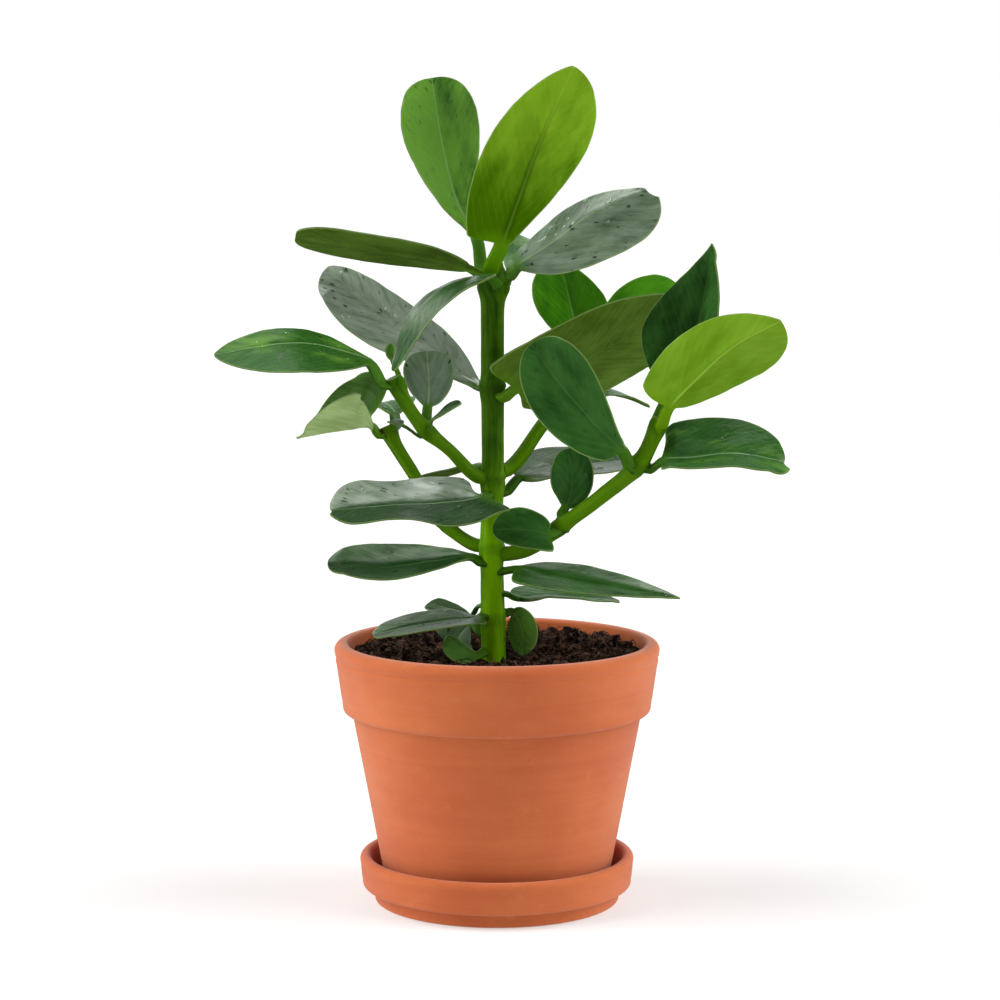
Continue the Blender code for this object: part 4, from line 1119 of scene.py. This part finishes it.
def turnPot(look):
    base, top, lip, rimFoot = look["baseRound"], look["top"], look["lip"], look["rimFoot"]
    shoulder, rimRound = look["shoulderRadius"], look["rimRound"]
    outer = arcPoints(look["baseRadius"] - base, look["bottom"] + base, base, -90, 0, 6)
    outer += linePoints(outer[-1], (shoulder, rimFoot), 60)
    outer += [(shoulder, rimFoot - look["seamDepth"]), (shoulder + look["seamWidth"], rimFoot)]
    outer += arcPoints(look["rimFootRadius"] - rimRound, rimFoot + rimRound, rimRound, -90, 0, 8)
    outer += linePoints(outer[-1], (look["rimRadius"], top - lip), 40)
    outer = thrown(outer, look["rings"], look["ringDepth"])
    inner = arcPoints(look["rimRadius"] - lip, top - lip, lip, 0, 90, 12)
    inner += arcPoints(look["innerRim"] + rimRound, top - rimRound, rimRound, 90, 180, 8)
    inner += linePoints(inner[-1], (look["innerShoulder"], rimFoot), 12)
    inner += [(look["innerShoulder"], rimFoot)]
    inner += [(look["baseRadius"] - look["wall"], look["innerFloor"])]
    inner += [(look["drain"], look["innerFloor"])]
    clayPiece("pot_turned", [(look["drain"], look["bottom"]), *outer, *inner], True, "pot")


turnSaucer(saucer)
turnPot(pot)
print("clay turned")

# peat: a lumpy top that dishes towards the stem, with crumbs and root fibres on it
peat = dict(
    edgeLevel=115.0, dish=3.0, dishRadius=45, roughness=1.8, lump=11.0, smallLump=5,
    clodRelief=(0.9, 1.7), clodLump=2.4, crumbRelief=0.55, crumbLump=1.1,
    holeRadius=6.1, holeBottom=88.0, stemFoot=(-1.5, -10.0), steps=220, ringGap=1.0, edgeBlend=12,
    crumbs=1000, crumbSize=(0.5, 1.9), clods=330, clodSize=(2.4, 5.0), crumbSpread=(0.5, 1.0),
    crumbWidth=0.8, crumbHeight=(0.5, 0.95), crumbRough=0.55, crumbGrain=2, crumbRise=0.25,
    crumbGap=0.4, fibres=620, fibreLength=(6, 20), fibreRadius=(0.14, 0.34), fibreLift=(0.6, 4.0),
    fibreSteps=10, fibreSides=5, fibreBend=0.45, fibreWander=0.22, fibreTaper=0.55, fibreRise=0.1,
    fibreGap=3.0, paleEvery=3, wallGap=1.2, calmSpot=(-6.0, -13.0), calmRadius=(27.0, 36.0),
    clodsFrom=0.9,
)
# the peat just clears the pot's wall
peatShoulder = pot["innerShoulder"] - seamGap * 1.5
peatFoot = pot["baseRadius"] - pot["wall"] - seamGap * 1.5
peatSlope = (pot["innerRim"] - peatShoulder) / (pot["top"] - pot["rimRound"] - pot["rimFoot"])
peatEdge = peatShoulder + peatSlope * (peat["edgeLevel"] - pot["rimFoot"]) - seamGap * 2


def fromStem(x, y):
    return math.hypot(x - peat["stemFoot"][0], y - peat["stemFoot"][1])


def wildness(x, y):
    # 0 under the lowest leaves, where the peat lies flat, and 1 outside them
    low, high = peat["calmRadius"]
    away = math.hypot(x - peat["calmSpot"][0], y - peat["calmSpot"][1])
    return min(max((away - low) / (high - low), 0.0), 1.0)


def peatSkin(x, y):
    # the dish and its lumps, as the solid has them, with finer clods on top
    out = min(1.0, fromStem(x, y) / peat["dishRadius"])
    dish = peat["dish"] * (1 - out * out * (3 - 2 * out))
    calm, wild = peat["clodRelief"]
    relief = calm + (wild - calm) * wildness(x, y)

    def lumps(layer, size):
        return noise.noise(Vector((x, y, layer)) / peat[size])

    return (
        peat["edgeLevel"] - dish + peat["roughness"] * (lumps(0, "lump") + lumps(50, "smallLump"))
        + relief * lumps(20, "clodLump") + peat["crumbRelief"] * abs(lumps(31, "crumbLump"))
    )


def layPeat():
    hole, edgeLevel, rimFoot = peat["holeRadius"], peat["edgeLevel"], pot["rimFoot"]
    floor = pot["innerFloor"] + seamGap
    count = round((peatEdge - hole) / peat["ringGap"])
    profile = [(0, floor), (peatFoot, floor), (peatShoulder, rimFoot), (peatEdge, edgeLevel)]
    profile += linePoints((peatEdge, edgeLevel), (hole, edgeLevel), count) + [(hole, edgeLevel)]
    profile += [(hole, peat["holeBottom"]), (0, peat["holeBottom"])]
    bm = turned(profile, peat["steps"], False)
    for vert in bm.verts:
        x, y, z = vert.co / mm
        out = math.hypot(x, y)
        # the peat's foot and its shoulder stay round
        if z < floor + sameLevel or abs(z - rimFoot) < sameLevel and out > peatFoot:
            continue
        closeness = min(1.0, (peatEdge - out) / (peatEdge - hole))
        x += peat["stemFoot"][0] * closeness
        y += peat["stemFoot"][1] * closeness
        if z > edgeLevel - sameLevel:
            z = edgeLevel + (peatSkin(x, y) - edgeLevel) * min(1.0, closeness * peat["edgeBlend"])
        vert.co = Vector((x, y, z)) * mm
    return bm


def scatterSpot(chance, margin):
    # a spot on the peat, clear of the pot's wall and of the stem
    while True:
        radius = (peatEdge - margin) * math.sqrt(chance.random())
        turn = chance.uniform(0, fullTurn)
        x, y = radius * math.cos(turn), radius * math.sin(turn)
        if fromStem(x, y) > peat["holeRadius"] + margin:
            return x, y


def strew(bm, count, grow, lotSize=30):
    # grows small things a few at a time, as operators slow down on a large mesh
    for start in range(0, count, lotSize):
        lot = bmesh.new()
        for k in range(start, min(start + lotSize, count)):
            grow(lot, k)
        mesh = bpy.data.meshes.new("lot")
        lot.to_mesh(mesh)
        lot.free()
        bm.from_mesh(mesh)
        bpy.data.meshes.remove(mesh)


def addCrumbs(bm, count, sizes, finest):
    chance = random.Random(40 + finest)

    def grow(lot, k):
        size = chance.uniform(*sizes) * chance.uniform(*peat["crumbSpread"])
        x, y = scatterSpot(chance, size + peat["crumbGap"])
        # clods, the finer shapes, lie outside the calm middle only
        if finest > 1 and wildness(x, y) < peat["clodsFrom"]:
            return
        seat = Vector((x, y, peatSkin(x, y) + size * peat["crumbRise"]))
        made = bmesh.ops.create_icosphere(lot, subdivisions=finest, radius=1)["verts"]
        turn = Quaternion((chance.random(), chance.random(), chance.random()), chance.uniform(0, 6))
        shape = Vector((1.0, peat["crumbWidth"], chance.uniform(*peat["crumbHeight"])))
        for vert in made:
            grain = noise.noise(vert.co * peat["crumbGrain"] + Vector((k, 0, 0)))
            rough = 1 + peat["crumbRough"] * grain
            vert.co = (seat + turn @ (vert.co * shape) * size * rough) * mm

    strew(bm, count, grow)


def addFibres(bm):
    chance = random.Random(17)
    steps, sides, limit = peat["fibreSteps"], peat["fibreSides"], peatEdge - peat["wallGap"]

    def grow(lot, k):
        length = chance.uniform(*peat["fibreLength"])
        thin = chance.uniform(*peat["fibreRadius"])
        x, y = scatterSpot(chance, peat["fibreGap"])
        way = chance.uniform(0, fullTurn)
        bend = chance.uniform(-peat["fibreBend"], peat["fibreBend"])
        lift = chance.uniform(*peat["fibreLift"]) * wildness(x, y) + peat["fibreRise"]
        points = []
        for step in range(steps + 1):
            radius = math.hypot(x, y)
            if radius > limit:
                x, y = x * limit / radius, y * limit / radius
            rise = math.sin(math.pi * step / steps) * lift
            points.append(Vector((x, y, peatSkin(x, y) + thin / 2 + rise)))
            way += bend + chance.uniform(-peat["fibreWander"], peat["fibreWander"])
            x += math.cos(way) * length / steps
            y += math.sin(way) * length / steps

        def corner(ring, step):
            ahead = (points[min(ring + 1, steps)] - points[max(ring - 1, 0)]).normalized()
            side = ahead.cross(Vector((0, 0, 1))).normalized()
            turn = fullTurn * step / sides
            spoke = side * math.cos(turn) + side.cross(ahead) * math.sin(turn)
            return [points[ring] + spoke * (thin * (1 - peat["fibreTaper"] * ring / steps))]

        for face in rollGrid(lot, steps + 1, sides, corner):
            face.material_index = 0 if k % peat["paleEvery"] else 1

    strew(bm, peat["fibres"], grow)


peatMesh = layPeat()
addCrumbs(peatMesh, peat["crumbs"], peat["crumbSize"], 1)
addCrumbs(peatMesh, peat["clods"], peat["clodSize"], 2)
addFibres(peatMesh)
grownPiece("soil_crumbled", peatMesh, soilFinishes, "soil")
print("peat laid")

# pale floor and soft studio light
white = (1.0, 1.0, 1.0, 1.0)
studio = dict(floorSize=30.0, floorLevel=-0.0002, floorColour=(0.58, 0.58, 0.58, 1.0), glow=0.38)
suns = {
    "leftKey": dict(turn=(62, 0, -84), energy=4.0, spread=60),
    "rightKey": dict(turn=(62, 0, 84), energy=3.5, spread=60),
    "overhead": dict(turn=(-12, 0, 0), energy=0.8, spread=120),
    "frontFill": dict(turn=(74, 0, 0), energy=0.15, spread=90),
}
panels = {
    "backSheen": dict(place=(0, 2.5, 1), size=(4, 2.2), energy=33, aim=(0, 0, 1)),
    "overheadSheen": dict(place=(-0.2, 0.7, 2.3), size=(1.9, 1.2), energy=46, aim=(0, 0.3, 0)),
    "leftSheen": dict(place=(-2.4, 0.1, 0.9), size=(2, 1.8), energy=13, aim=(0, 0, 0.1)),
    "rightSheen": dict(place=(2.4, 0.1, 0.9), size=(2, 1.8), energy=13, aim=(0, 0, 0.1)),
}


def layFloor():
    bm = bmesh.new()
    bmesh.ops.create_grid(bm, x_segments=4, y_segments=4, size=studio["floorSize"] / 2)
    bmesh.ops.translate(bm, verts=bm.verts, vec=(0, 0, studio["floorLevel"]))
    mesh = bpy.data.meshes.new("paleFloor")
    bm.to_mesh(mesh)
    bm.free()
    mesh.materials.append(Finish(
        "paleFloor", Base_Color=studio["floorColour"], Roughness=0.9, Specular_IOR_Level=0.1,
        Emission_Color=white, Emission_Strength=studio["glow"],
    ).material)
    floor = added("paleFloor", mesh)
    floor.visible_glossy = False


def addLight(name, kind, energy):
    data = bpy.data.lights.new(name, kind)
    data.energy = energy
    made = added(name, data)
    made.visible_camera = False
    return data, made


def lightStudio():
    for name, look in suns.items():
        data, made = addLight(name, "SUN", look["energy"])
        data.angle = math.radians(look["spread"])
        made.rotation_euler = [math.radians(a) for a in look["turn"]]
        # a sun gives soft light but no bright disc in the gloss of a leaf
        made.visible_glossy = False
    for name, look in panels.items():
        data, made = addLight(name, "AREA", look["energy"])
        data.shape = "RECTANGLE"
        data.size, data.size_y = look["size"]
        made.location = look["place"]
        aim = Vector(look["aim"]) - made.location
        made.rotation_euler = aim.to_track_quat("-Z", "Y").to_euler()
        # a panel is only seen in the gloss
        made.visible_diffuse = False
    world = bpy.data.worlds.new("paleRoom")
    bpy.context.scene.world = world
    world.use_nodes = True
    world.node_tree.nodes["Background"].inputs["Color"].default_value = white
    world.cycles_visibility.diffuse = False
    world.cycles_visibility.glossy = False
    bpy.context.scene.view_settings.view_transform = "Standard"


layFloor()
lightStudio()
print("floor and lights set")
